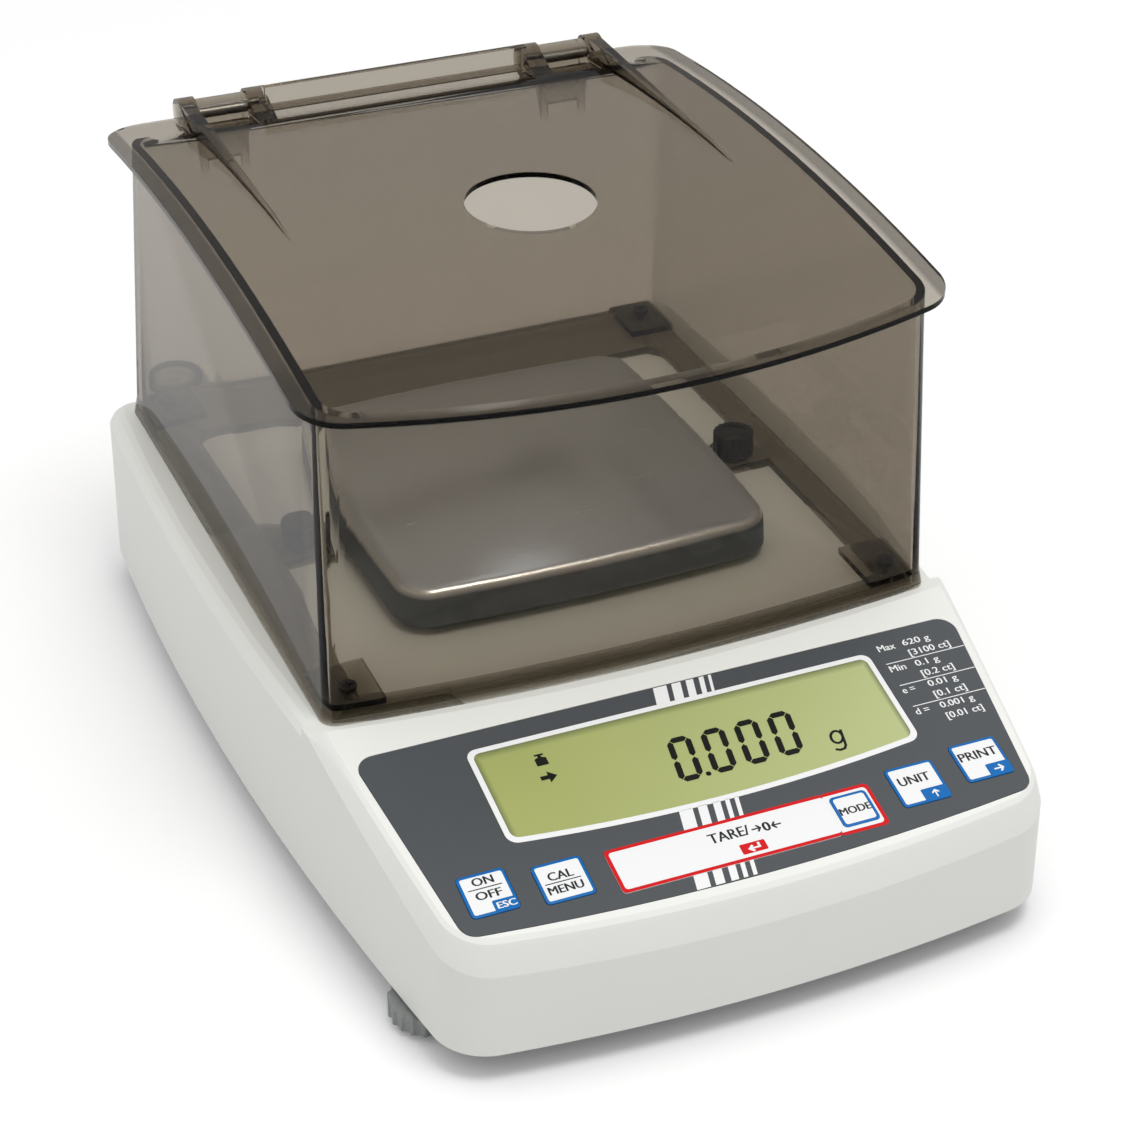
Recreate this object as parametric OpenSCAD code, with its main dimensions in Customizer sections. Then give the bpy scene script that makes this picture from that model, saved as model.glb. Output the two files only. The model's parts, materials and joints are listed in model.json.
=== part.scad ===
// Precision balance with a smoked draught shield: barrel-sided housing with a sloping control
// panel, membrane keys, square stainless pan, box shield with a hinged arched lid, four feet.
// Millimetres, +Z up, control panel towards -Y. Origin: floor level, middle of width and depth.

/* [Housing] */
// Widest width of the housing, reached behind its middle
body_w = 209; // [205:1:213]
// Depth of the housing without the spirit-level boss
body_d = 295.5; // [293:0.5:299]
// Lower edge of the cover above the table
skirt_z = 9; // [8.5:0.5:10]
// Height of the flat deck that carries the shield
deck_z = 61.5; // [60:0.5:63]
// Height of the control panel's plane above the front edge
panel_low_z = 43.1; // [42:0.1:44]
// Slope of the control panel, degrees
panel_tilt = 14.06; // [13:0.1:15]
// Height of the crease between wall and shoulder at the front edge
crease_low_z = 33.3; // [32:0.1:34]
// Slope of that crease, degrees
crease_tilt = 17.2; // [16:0.1:18]
// Moulded wall thickness
wall = 2.6; // [2.2:0.1:3]
// Plan radius of the two front corners
front_corner_r = 16; // [14:1:20]
// Plan radius of the two rear corners
rear_corner_r = 10; // [8:1:12]

/* [Keypad and display] */
// Half width of the dark keypad film at its rear edge
film_top_hw = 91.7; // [90:0.1:92.5]
// Half width of the film at its front corners
film_low_hw = 83.7; // [82:0.1:85]
// Film thickness
film_t = 0.5; // [0.4:0.1:0.6]
// Thickness of the switch sheet under the film
sheet_t = 0.7; // [0.6:0.1:0.9]
// How far a key stands above the film
key_rise = 0.25; // [0.2:0.05:0.3]
// Key travel
key_travel = 0.3; // [0.2:0.05:0.35]
// Width of the display window
window_w = 123.4; // [120:0.2:125]
// Depth of the display window along the panel, at its ends
window_d = 33.4; // [32:0.1:34.5]

/* [Draught shield] */
// Outside width of the shield at its foot
shield_w = 185.6; // [184:0.2:187]
// Front of the shield at its foot, on the middle line
shield_front_y = -69; // [-70:0.5:-68]
// Rear of the shield at its foot
shield_back_y = 132.7; // [132:0.1:133.2]
// Wall thickness of the shield
shield_t = 2.6; // [2.4:0.1:3]
// How far each side wall leans in towards the lid
draft_side = 2.6; // [2:0.2:3]
// How far the rear wall leans in towards the lid
draft_end = 5.4; // [5:0.2:5.8]
// How far the front wall bulges out under the lid, on the middle line
bulge = 7.3; // [6:0.1:7.4]
// Corner radius of the shield at its foot
foot_corner_r = 4; // [4:0.5:6]
// Corner radius of the shield under the lid
top_corner_r = 12; // [10:0.5:13]
// How far the foot of the shield flares out
flare = 0.8; // [0.4:0.1:0.8]
// Thickness of the foot frame inside the shield
frame_t = 3; // [2.6:0.2:3.2]

/* [Lid] */
// Width of the lid
lid_w = 191.8; // [190:0.2:193]
// Front edge of the lid on the middle line
lid_front_y = -79.7; // [-81:0.1:-78]
// Rear edge of the lid
lid_back_y = 136.2; // [135.5:0.1:136.4]
// Height of the lid at the top of its arch
lid_top_z = 165.9; // [164:0.1:167]
// Radius of the lid's front-to-back arch
arch_r = 714; // [700:1:740]
// Depth position of the top of the arch
arch_y = 38.3; // [36:0.1:40]
// Sheet thickness of the lid
lid_t = 1.7; // [1.6:0.1:2]
// Radius of the filling hole
hole_r = 19.5; // [18:0.1:21]
// Centre of the filling hole, across and in depth
hole_x = 3.5; // [0:0.1:4]
hole_y = 22.6; // [20:0.1:25]
// Lid opening angle at its stop, degrees
lid_open = 95; // [80:1:95]

/* [Hinges] */
// Hinge line in front of the shield's rear foot
axis_in = 2.2; // [2:0.1:2.4]
// Hinge line below the top of the lid's arch
axis_drop = 3.9; // [3.7:0.1:4.1]
// Radius of the ears
ear_r = 5.6; // [5.2:0.1:5.8]
// Radius of the hinge pins
pin_r = 1.5; // [1.3:0.1:1.7]
// Radial clearance of a turning pin in its hole
run_gap = 0.08; // [0.05:0.01:0.1]

/* [Weighing pan] */
// Width and depth of the square pan
pan_w = 121; // [118:0.5:123]
// Height of the pan's top surface
pan_z = 76.3; // [76:0.1:78]
// Height of the pan from its skirt to its top
pan_h = 11.5; // [10:0.1:11.5]
// Depth position of the pan's centre
pan_y = 25; // [23:0.5:27]
// Sheet thickness of the pan
pan_t = 1.2; // [1:0.1:1.5]
// How far the pan lifts off inside the closed shield
pan_lift = 60; // [20:1:70]

/* [Feet] */
// Radius of the knurled levelling wheels
wheel_r = 11.5; // [10.5:0.1:12]
// Radius of the threaded studs
stud_r = 2.5; // [2.3:0.1:2.7]
// Longest travel of a levelling foot
foot_travel = 5; // [3:0.5:5]
// Front feet: distance from the widest side line
foot_side_front = 20; // [19:0.5:23]
// Front feet: distance behind the front edge
foot_in_front = 37; // [35:0.5:42]
// Rear feet: distance from the widest side line
foot_side_rear = 16.5; // [15:0.5:18]
// Rear feet: distance in front of the rear wall
foot_in_rear = 32.5; // [30:0.5:36]

/* [Hidden] */
$fn = 48;
bow_fn = 360;
gap = 0.3;
level_r = 11;
level_out = 14.5;
front_y = -(body_d + level_out) / 2;
back_y = front_y + body_d;
widest_y = front_y + 208;
side_bow_r = 1250;
front_bow_r = 555;
panel_back_y = front_y + 80;
panel_back_r = 800;
film_back = 76.2;
film_front = 6.6;
film_bow_r = 757;
window_top = 70;
window_bow_r = 501;
recess = film_t + sheet_t;
// the front wall is nearly flat at its foot and follows the lid's bow at its top
foot_bow = 1 / 730;
top_bow = 1 / 305;
shield_z = deck_z;
lid_bow_r = 333;
seat_gap = 0.3;
axis_y = shield_back_y - axis_in;
axis_z = lid_top_z - axis_drop;
wall_top_z = lid_top_z - 5.9;
// the lid's rear lower edge sweeps this radius about the hinge line
rear_edge_z = lid_top_z - arch_r + sqrt(pow(arch_r, 2) - pow(lid_back_y - arch_y, 2)) - lid_t;
clear_r = norm([lid_back_y - axis_y, axis_z - rear_edge_z]) + gap;
knuckle = [50, 65.7];
ear_in = [43.4, 49.6];
ear_out = [66.1, 71.6];
frame_top = shield_z + frame_t;
knob_x = shield_w / 2 - 20.3;
knob_y = 24.5;
knob_r = 6.3;
screw_x = shield_w / 2 - 9.2;
screw_y = [shield_front_y + 14, shield_back_y - 11.7];
thumb_r = 2;
cell_w = 28;
cell_z = [24.2, 50];
cell_y = [-2, back_y - 22.5];
flex_y = [cell_y[0] + 38, cell_y[1] - 34];
arm = pan_w / 2 - 6.5;
tray_z = 7.5;
tray_t = 2.4;
tray_in = wall + 0.3;
foot_x = [body_w / 2 - foot_side_front, body_w / 2 - foot_side_rear];
foot_y = [front_y + foot_in_front, back_y - foot_in_rear];
foot_pos = [[-foot_x[0], foot_y[0]], [foot_x[0], foot_y[0]],
            [-foot_x[1], foot_y[1]], [foot_x[1], foot_y[1]]];
post_x = [body_w / 2 - 42.5, body_w / 2 - 24.5];
post_y = [front_y + 17, back_y - 12.5];
post_pos = [[-post_x[0], post_y[0]], [post_x[0], post_y[0]],
            [-post_x[1], post_y[1]], [post_x[1], post_y[1]]];
board_x = [26, body_w / 2 - 30.5];
board_y = [-12, back_y - 28.5];
board_z = tray_z + 11;
rest_x = [board_x[0] + 5, board_x[1] - 5];
rest_y = [board_y[0] + 5, board_y[1] - 5];
panel_post_x = window_w / 2 + 4.3;
panel_post_y = [window_top - 34, window_top];
level_pos = [-75.5, back_y + level_out - level_r];
serial_x = 4;
serial_w = 30.6;
serial_h = 12.4;
jack_x = 52;
jack_r = 5;
port_z = 30;
// keys spread with the film: centre across, centre up the panel, width, depth
spread = film_low_hw / 83.7;
power_k = [-72.8 * spread, 22.95, 13.6 * spread, 13.8];
menu_k = [-52.4 * spread, 20.9, 14.2 * spread, 13.1];
tare_k = [-6.9 * spread, 19, 64.4 * spread, 14.8];
mode_k = [32.2 * spread, 19.1, 11.2 * spread, 10.8];
unit_k = [53 * spread, 21.75, 14.8 * spread, 13.9];
print_k = [74.1 * spread, 24.2, 14.6 * spread, 13.6];
key_list = [power_k, menu_k, tare_k, mode_k, unit_k, print_k];

// Housing shapes

// barrel outline drawn with sharp corners, moved in by the inset
module sharp_plan(inset)
  intersection() {
    translate([body_w / 2 - side_bow_r, widest_y]) circle(r = side_bow_r - inset, $fn = bow_fn);
    translate([side_bow_r - body_w / 2, widest_y]) circle(r = side_bow_r - inset, $fn = bow_fn);
    translate([0, front_y + front_bow_r]) circle(r = front_bow_r - inset, $fn = bow_fn);
    translate([-body_w, front_y - 20]) square([2 * body_w, body_d + 20 - inset]);
  }

// point where two circles cross, on the given side of the line between their centres
function meet(a, ra, b, rb, side) =
  let (d = norm(b - a), u = (b - a) / d, h = (ra * ra - rb * rb + d * d) / (2 * d))
  a + h * u + side * sqrt(ra * ra - h * h) * [-u[1], u[0]];

// centres of the right-hand corner circles, tangent to side wall and front or rear wall
side_c = [body_w / 2 - side_bow_r, widest_y];
front_c = [0, front_y + front_bow_r];
front_corner = meet(side_c, side_bow_r - front_corner_r, front_c, front_bow_r - front_corner_r, -1);
rear_corner_dy = back_y - rear_corner_r - widest_y;
rear_corner = [side_c[0] + sqrt(pow(side_bow_r - rear_corner_r, 2) - pow(rear_corner_dy, 2)),
               back_y - rear_corner_r];

// unit vector from one point to another
function towards(a, b) = (b - a) / norm(b - a);

// area outside a corner circle, between its two points of tangency and the sharp corner
module corner_cut(c, t1, t2)
  polygon([t1, t1 + (t1 - c) * 0.4, c + (t1 + t2 - 2 * c) * 1.6, t2 + (t2 - c) * 0.4, t2]);

// the same outline with its four corners rounded, large ones in front
module plan(inset) {
  side_t = side_c + towards(side_c, front_corner) * (side_bow_r - inset);
  front_t = front_c + towards(front_c, front_corner) * (front_bow_r - inset);
  rear_side_t = side_c + towards(side_c, rear_corner) * (side_bow_r - inset);
  rear_t = [rear_corner[0], back_y - inset];
  difference() {
    sharp_plan(inset);
    for (m = [0, 1])
      mirror([m, 0]) {
        corner_cut(front_corner, side_t, front_t);
        corner_cut(rear_corner, rear_side_t, rear_t);
      }
  }
  for (m = [0, 1])
    mirror([m, 0]) {
      translate(front_corner) circle(r = front_corner_r - inset);
      translate(rear_corner) circle(r = rear_corner_r - inset);
    }
}

// everything below a plane that rises from the front edge
module below_plane(z, tilt)
  translate([-body_w, front_y, z]) rotate([tilt, 0, 0])
    translate([0, -60, -150]) cube([2 * body_w, body_d + 100, 150]);

// one level of the housing in front of the given depth, cut off by a sloping plane
module front_level(inset, z, tilt, from_z)
  intersection() {
    translate([0, 0, from_z]) linear_extrude(120)
      intersection() {
        plan(inset);
        translate([-body_w, front_y - 20]) square([2 * body_w, panel_back_y + 14 - front_y + 20]);
      }
    below_plane(z, tilt);
  }

// wedge under the control panel: upright wall, canted shoulder, rounded edge, sloping face
module front_form(inset, drop, from_z)
  hull() {
    front_level(inset, crease_low_z - drop, crease_tilt, from_z);
    front_level(inset + 1.7, panel_low_z - 2.7 - drop, panel_tilt, from_z);
    front_level(inset + 2.4, panel_low_z - 1 - drop, panel_tilt, from_z);
    front_level(inset + 3.5, panel_low_z - drop, panel_tilt, from_z);
  }

// one level of the rear part, flat on top
module rear_level(inset, z, from_z)
  translate([0, 0, from_z]) linear_extrude(z - from_z)
    intersection() {
      plan(inset);
      translate([-body_w, panel_back_y - 4]) square([2 * body_w, body_d]);
    }

// rear part with a softly rounded shoulder up to the deck
module rear_form(inset, drop, from_z)
  hull() {
    rear_level(inset, from_z + 1, from_z);
    rear_level(inset + 0.5, deck_z - 4 - drop, from_z);
    rear_level(inset + 1.8, deck_z - 1.6 - drop, from_z);
    rear_level(inset + 3.2, deck_z - 0.5 - drop, from_z);
    rear_level(inset + 5.2, deck_z - drop, from_z);
  }

// children drawn on the sloping panel: X across, Y up the slope, Z out of it
module on_panel() translate([0, front_y, panel_low_z]) rotate([panel_tilt, 0, 0]) children();

// Keypad outlines on the panel

// rounded rectangle made from exact circles and squares
module round_rect(w, d, r) {
  square([w - 2 * r, d], center = true);
  square([w, d - 2 * r], center = true);
  for (x = [-1, 1])
    for (y = [-1, 1])
      translate([x * (w / 2 - r), y * (d / 2 - r)]) circle(r = r, $fn = 24);
}

// dark keypad film: wider at the rear, bowed at the front
module film_outline(inset)
  offset(r = 5 - inset, $fn = 32) offset(delta = -5)
    intersection() {
      polygon([[-film_top_hw, film_back], [film_top_hw, film_back],
               [film_low_hw - 1, film_front - 1], [1 - film_low_hw, film_front - 1]]);
      translate([0, film_front + film_bow_r]) circle(r = film_bow_r, $fn = bow_fn);
    }

// display window: rounded, with a bowed front edge
module window_outline(inset)
  offset(r = 3.5 - inset, $fn = 32) offset(delta = -3.5)
    intersection() {
      translate([-window_w / 2, window_top - window_d - 4]) square([window_w, window_d + 4]);
      translate([0, window_top - window_d - 3.8 + window_bow_r])
        circle(r = window_bow_r, $fn = bow_fn);
    }

// all six key shapes, grown by the given amount
module key_shapes(grow)
  for (k = key_list)
    translate([k[0], k[1]]) round_rect(k[2] + 2 * grow, k[3] + 2 * grow, 1.4);

// Housing

// moulded upper housing, open below
module top_cover() color([0.93, 0.94, 0.92]) {
  difference() {
    union() {
      difference() {
        union() {
          front_form(0, 0, skirt_z);
          rear_form(0, 0, skirt_z);
        }
        // the deck runs forward to a bowed step at the rear of the panel
        translate([0, panel_back_y + panel_back_r, deck_z])
          cylinder(r = panel_back_r, h = 40, $fn = 720);
        intersection() {
          front_form(wall, wall, skirt_z - 1);
          translate([-body_w, front_y, 0]) cube([2 * body_w, body_d, deck_z - wall]);
        }
        rear_form(wall, wall, skirt_z - 1);
      }
      level_boss();
      pan_collar();
      screw_posts();
      knob_bosses();
      board_posts();
    }
    // shallow seat of the keypad film and the view of the display
    on_panel() {
      translate([0, 0, -recess]) linear_extrude(recess + 1) film_outline(-0.2);
      translate([0, 0, -12]) linear_extrude(12) window_outline(1.8);
      translate([-12, film_back - 3.6, -6]) cube([24, 2.4, 6]);
    }
    // bores through the deck: pan column, thumb screws, spirit level
    translate([0, pan_y, deck_z - 10]) cylinder(r = 9, h = 20);
    for (x = [-knob_x, knob_x])
      translate([x, knob_y, deck_z - 12]) cylinder(r = thumb_r + run_gap, h = 20);
    translate([level_pos[0], level_pos[1], deck_z - 9]) cylinder(r = level_r - 2.7, h = 20);
    // sockets in the rear wall
    translate([serial_x - serial_w / 2 - gap, back_y - 8, port_z - serial_h / 2 - gap])
      cube([serial_w + 2 * gap, 16, serial_h + 2 * gap]);
    translate([jack_x, back_y + 1, port_z]) rotate([90, 0, 0]) cylinder(r = jack_r + 0.2, h = 8);
    // pilot bores for the base screws
    for (p = post_pos)
      translate([p[0], p[1], skirt_z]) cylinder(r = 1.55, h = 14);
  }
}

// round boss behind the rear wall that holds the spirit level
module level_boss()
  difference() {
    union() {
      translate([level_pos[0], level_pos[1], deck_z - 14]) cylinder(r = level_r, h = 14);
      translate([level_pos[0] - level_r, back_y - 3.6, deck_z - 14])
        cube([2 * level_r, level_pos[1] - back_y + 3.6, 14]);
    }
    translate([level_pos[0] - 4 * level_r, back_y - 30, deck_z - 20])
      cube([8 * level_r, 30 - rear_corner_r / 2 + 1.5, 40]);
  }

// raised ring around the pan column, keeps spills out
module pan_collar()
  translate([0, pan_y, deck_z - 1]) cylinder(r = 12, h = 3.4);

// columns that take the base screws
module screw_posts()
  intersection() {
    for (p = post_pos)
      translate([p[0], p[1], skirt_z + 3.2]) cylinder(r = 4, h = 60);
    union() {
      front_form(1, 1, skirt_z);
      rear_form(1, 1, skirt_z);
    }
  }

// thickened deck under each thumb screw
module knob_bosses()
  for (x = [-knob_x, knob_x])
    translate([x, knob_y, deck_z - 10]) cylinder(r = 5.5, h = 9);

// posts under the panel that carry the display board
module board_posts()
  on_panel()
    for (x = [-panel_post_x, panel_post_x])
      for (y = panel_post_y)
        translate([x, y, -6.9]) cylinder(r = 3, h = 5);

// moulded base with a rim inside the cover, foot sockets and board posts
module base_tray() color([0.3, 0.31, 0.32])
  difference() {
    union() {
      translate([0, 0, tray_z]) linear_extrude(tray_t) plan(tray_in);
      translate([0, 0, tray_z]) linear_extrude(9)
        difference() {
          plan(tray_in);
          plan(tray_in + 2.2);
        }
      foot_bosses();
      for (p = post_pos)
        translate([p[0], p[1], tray_z]) cylinder(r = 5, h = 4.6);
      // ribs beside the load cell
      for (x = [-24, 22])
        translate([x, -60, tray_z]) cube([2, back_y + 39.5, 7]);
      for (y = [-60, 60])
        translate([19.5 - body_w / 2, y, tray_z]) cube([body_w / 2 - 41.5, 2, 7]);
      board_rests();
    }
    for (p = foot_pos) {
      translate([p[0], p[1], tray_z - 1]) cylinder(r = 3.45, h = 12);
      translate([p[0], p[1], tray_z]) cylinder(r = stud_r + 0.5, h = 14);
    }
    for (p = post_pos) {
      translate([p[0], p[1], tray_z - 1]) cylinder(r = 1.8, h = 8);
      translate([p[0], p[1], tray_z - 1]) cylinder(r = 3.2, h = 3);
    }
    // cooling slots under the main board
    for (i = [0:5])
      translate([rest_x[0] + 4 + 6 * i, 20, tray_z - 1]) cube([2.4, 60, tray_t + 2]);
  }

// sockets of the thread inserts, kept inside the cover
module foot_bosses()
  intersection() {
    for (p = foot_pos)
      translate([p[0], p[1], tray_z]) cylinder(r = 7, h = 15);
    translate([0, 0, tray_z]) linear_extrude(20) plan(tray_in);
  }

// short posts that carry the main board
module board_rests()
  for (x = rest_x)
    for (y = rest_y)
      translate([x, y, tray_z]) cylinder(r = 3, h = board_z - tray_z);

// Keypad and display

// printed polyester film with windows for keys and display
module key_film() color([0.33, 0.34, 0.36])
  on_panel() translate([0, 0, -film_t]) linear_extrude(film_t)
    difference() {
      film_outline(0);
      window_outline(-0.1);
      key_shapes(0.1);
    }

// membrane switch sheet with a dome pocket under every key
module switch_sheet() color([0.75, 0.78, 0.74])
  on_panel() difference() {
    translate([0, 0, -recess]) linear_extrude(sheet_t)
      difference() {
        film_outline(0.1);
        window_outline(-0.1);
      }
    translate([0, 0, -film_t - key_travel - 0.1]) linear_extrude(2) key_shapes(0.2);
  }

// clear pane of the display
module display_window() color([0.75, 0.8, 0.7, 0.5])
  on_panel() translate([0, 0, -recess]) linear_extrude(recess) window_outline(0.05);

// liquid crystal panel under the window
module lcd_display() color([0.66, 0.72, 0.48])
  on_panel() translate([-window_w / 2 - gap, window_top - window_d - 2, -5.2])
    cube([window_w + 2 * gap, window_d + 2, 2.3]);

// display circuit board, screwed to the posts under the panel
module display_board() color([0.1, 0.35, 0.2])
  on_panel() {
    difference() {
      translate([-panel_post_x - 6, panel_post_y[0] - 6, -8.5])
        cube([2 * panel_post_x + 12, panel_post_y[1] - panel_post_y[0] + 12, 1.6]);
      for (x = [-panel_post_x, panel_post_x])
        for (y = panel_post_y)
          translate([x, y, -9]) cylinder(r = 1.2, h = 3);
    }
    for (x = [-40, 0, 40])
      translate([x - 4, 46, -7]) cube([8, 12, 1.7]);
  }

// one key: an embossed island of the film
module key_cap(k) color([0.95, 0.95, 0.95])
  on_panel() translate([k[0], k[1], -film_t]) linear_extrude(film_t + key_rise)
    round_rect(k[2] - 0.1, k[3] - 0.1, 1.3);

module power_key() key_cap(power_k);
module menu_key() key_cap(menu_k);
module tare_key() key_cap(tare_k);
module mode_key() key_cap(mode_k);
module unit_key() key_cap(unit_k);
module print_key() key_cap(print_k);

// Inside

// main circuit board on its posts, with its larger components
module main_board() color([0.1, 0.35, 0.2]) {
  difference() {
    translate([board_x[0], board_y[0], board_z])
      cube([board_x[1] - board_x[0], board_y[1] - board_y[0], 1.6]);
    for (x = rest_x)
      for (y = rest_y)
        translate([x, y, board_z - 1]) cylinder(r = 1.2, h = 4);
  }
  // processor, converter, transformer, socket block: place, width, depth, height
  for (c = [[8, 18, 14, 14, 3], [28, 50, 16, 12, 6], [6, 76, 10, 22, 9], [26, 92, 16, 16, 12]])
    translate([board_x[0] + c[0], board_y[0] + c[1], board_z + 1.4]) cube([c[2], c[3], c[4]]);
}

// mains adapter socket in the rear wall
module power_jack() color([0.12, 0.12, 0.12])
  translate([jack_x, back_y, port_z]) rotate([90, 0, 0])
    difference() {
      union() {
        translate([0, 0, 0.4]) cylinder(r = jack_r, h = 6);
        translate([-5.5, -9.5, wall + 0.6]) cube([11, 15, 9]);
      }
      translate([0, 0, -1]) cylinder(r = 2.75, h = 10);
    }

// nine-pole data socket in the rear wall
module serial_port() color([0.6, 0.6, 0.62])
  translate([serial_x, back_y, port_z]) rotate([90, 0, 0]) {
    difference() {
      translate([-serial_w / 2, -serial_h / 2, -0.4]) cube([serial_w, serial_h, 12]);
      translate([0, 0, -3])
        linear_extrude(7)
          polygon([[-8.6, 4], [8.6, 4], [7.2, -4], [-7.2, -4]]);
    }
    for (i = [-2:2])
      translate([i * 2.7, 1.4, 0]) cylinder(r = 0.5, h = 5, $fn = 16);
    for (i = [-1.5:1.5])
      translate([i * 2.7, -1.4, 0]) cylinder(r = 0.5, h = 5, $fn = 16);
    translate([-serial_w / 2, -11, wall + 1]) cube([serial_w, 5, 8]);
  }

// one-piece load cell: two parallel beams with thin flexures and a measuring slot
module load_cell() color([0.78, 0.79, 0.8])
  difference() {
    translate([-cell_w / 2, cell_y[0], cell_z[0]])
      cube([cell_w, cell_y[1] - cell_y[0], cell_z[1] - cell_z[0]]);
    translate([-cell_w, 0, 0]) rotate([90, 0, 90]) linear_extrude(2 * cell_w)
      union() {
        // flexure bores leave thin necks above and below
        for (y = flex_y)
          for (z = [cell_z[0] + 5.2, cell_z[1] - 5.2])
            translate([y, z]) circle(r = 3.4);
        translate([flex_y[0], cell_z[0] + 5.2]) square([flex_y[1] - flex_y[0], 2.4]);
        translate([flex_y[0], cell_z[1] - 7.6]) square([flex_y[1] - flex_y[0], 2.4]);
        translate([flex_y[0] - 1.2, cell_z[0] + 5.2]) square([2.4, cell_z[1] - cell_z[0] - 10.4]);
        // lever slot between the beams
        translate([flex_y[0] + 10, (cell_z[0] + cell_z[1]) / 2]) circle(r = 2.6);
        translate([flex_y[0] + 10, (cell_z[0] + cell_z[1]) / 2 - 0.6])
          square([flex_y[1] - flex_y[0] - 14, 1.2]);
      }
    for (y = [cell_y[0] + 8, cell_y[0] + 22])
      translate([0, y, cell_z[1] - 9]) cylinder(r = 1.65, h = 10);
    for (y = [cell_y[1] - 22, cell_y[1] - 8])
      translate([0, y, cell_z[0] - 1]) cylinder(r = 1.65, h = 10);
  }

// cast block that carries the fixed end of the load cell
module cell_bracket() color([0.6, 0.61, 0.62])
  difference() {
    union() {
      translate([-20, cell_y[1] - 30, tray_z + tray_t]) cube([40, 30, 4]);
      translate([-cell_w / 2, cell_y[1] - 28, tray_z + tray_t])
        cube([cell_w, 26, cell_z[0] - tray_z - tray_t]);
    }
    for (y = [cell_y[1] - 22, cell_y[1] - 8])
      translate([0, y, tray_z]) cylinder(r = 2.2, h = 20);
  }

// column and four-armed spider between load cell and pan
module pan_support() color([0.7, 0.71, 0.72]) {
  translate([-10, 0, cell_z[1]]) cube([20, pan_y + 10, 4]);
  translate([0, pan_y, cell_z[1] + 1]) cylinder(r = 6, h = 16.5);
  translate([0, pan_y, cell_z[1] + 16.5]) linear_extrude(3) {
    circle(r = 16);
    for (a = [45:90:315])
      rotate(a) {
        translate([0, -5]) square([arm, 10]);
        translate([arm, 0]) circle(r = 8);
      }
  }
}

// rubber cushion under one corner of the pan
module pan_cushion(a) color([0.15, 0.15, 0.15])
  translate([arm * cos(a), pan_y + arm * sin(a), cell_z[1] + 19.5])
    cylinder(r = 5.5, h = pan_z - pan_t - cell_z[1] - 19.5);

module pan_cushion_fl() pan_cushion(225);
module pan_cushion_fr() pan_cushion(315);
module pan_cushion_rl() pan_cushion(135);
module pan_cushion_rr() pan_cushion(45);

// square pan outline with slightly bowed sides
module pan_plan(inset)
  offset(r = 11 - inset / 2, $fn = 40) offset(delta = -11 - inset / 2)
    intersection_for (a = [0:90:270])
      rotate([0, 0, a]) translate([700 - pan_w / 2, 0]) circle(r = 700, $fn = 180);

// solid block of the pan's outer form, shrunk by the inset
module pan_form(inset, low)
  translate([0, pan_y, pan_z - pan_h])
    hull() {
      translate([0, 0, -low]) linear_extrude(1) pan_plan(inset);
      translate([0, 0, -low]) linear_extrude(pan_h - 3 + low - inset) pan_plan(inset + 0.4);
      translate([0, 0, -low]) linear_extrude(pan_h - 1.5 + low - inset) pan_plan(inset + 0.9);
      translate([0, 0, -low]) linear_extrude(pan_h - 0.5 + low - inset) pan_plan(inset + 1.8);
      translate([0, 0, -low]) linear_extrude(pan_h + low - inset) pan_plan(inset + 3);
    }

// pressed stainless pan with a turned-down skirt
module weighing_pan() color([0.5, 0.5, 0.49])
  difference() {
    pan_form(0, 0);
    pan_form(pan_t, 1);
  }

// Draught shield

// shield outline at a height: narrower and rounder towards the lid, bowed in front
module shield_plan(inset, rise) {
  lean = rise / (wall_top_z - shield_z);
  hw = shield_w / 2 - draft_side * lean - inset;
  front = shield_front_y - bulge * lean + inset;
  bow_r = 1 / (foot_bow + (top_bow - foot_bow) * lean);
  back = shield_back_y - draft_end * lean - inset;
  radius = foot_corner_r + (top_corner_r - foot_corner_r) * lean - inset;
  offset(r = radius, $fn = 32) offset(delta = -radius)
    intersection() {
      translate([-hw, front - 1]) square([2 * hw, back - front + 1]);
      translate([0, front + bow_r]) circle(r = bow_r, $fn = bow_fn);
    }
}

// tapered block of the shield from its foot to above the lid
module shield_form(inset, low)
  hull() {
    translate([0, 0, shield_z - low]) linear_extrude(0.1) shield_plan(inset, 0);
    translate([0, 0, shield_z + 110]) linear_extrude(0.1) shield_plan(inset, 110);
  }

// short flare at the foot of the shield
module shield_flare()
  hull() {
    translate([0, 0, shield_z]) linear_extrude(0.6) shield_plan(-flare, 0);
    translate([0, 0, shield_z + 7]) linear_extrude(0.1) shield_plan(0.1, 7);
  }

// round bar along X under the lid's arch
module arch(dz)
  translate([-body_w, arch_y, lid_top_z - arch_r]) rotate([0, 90, 0])
    cylinder(r = arch_r + dz, h = 2 * body_w, $fn = 360);

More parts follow.
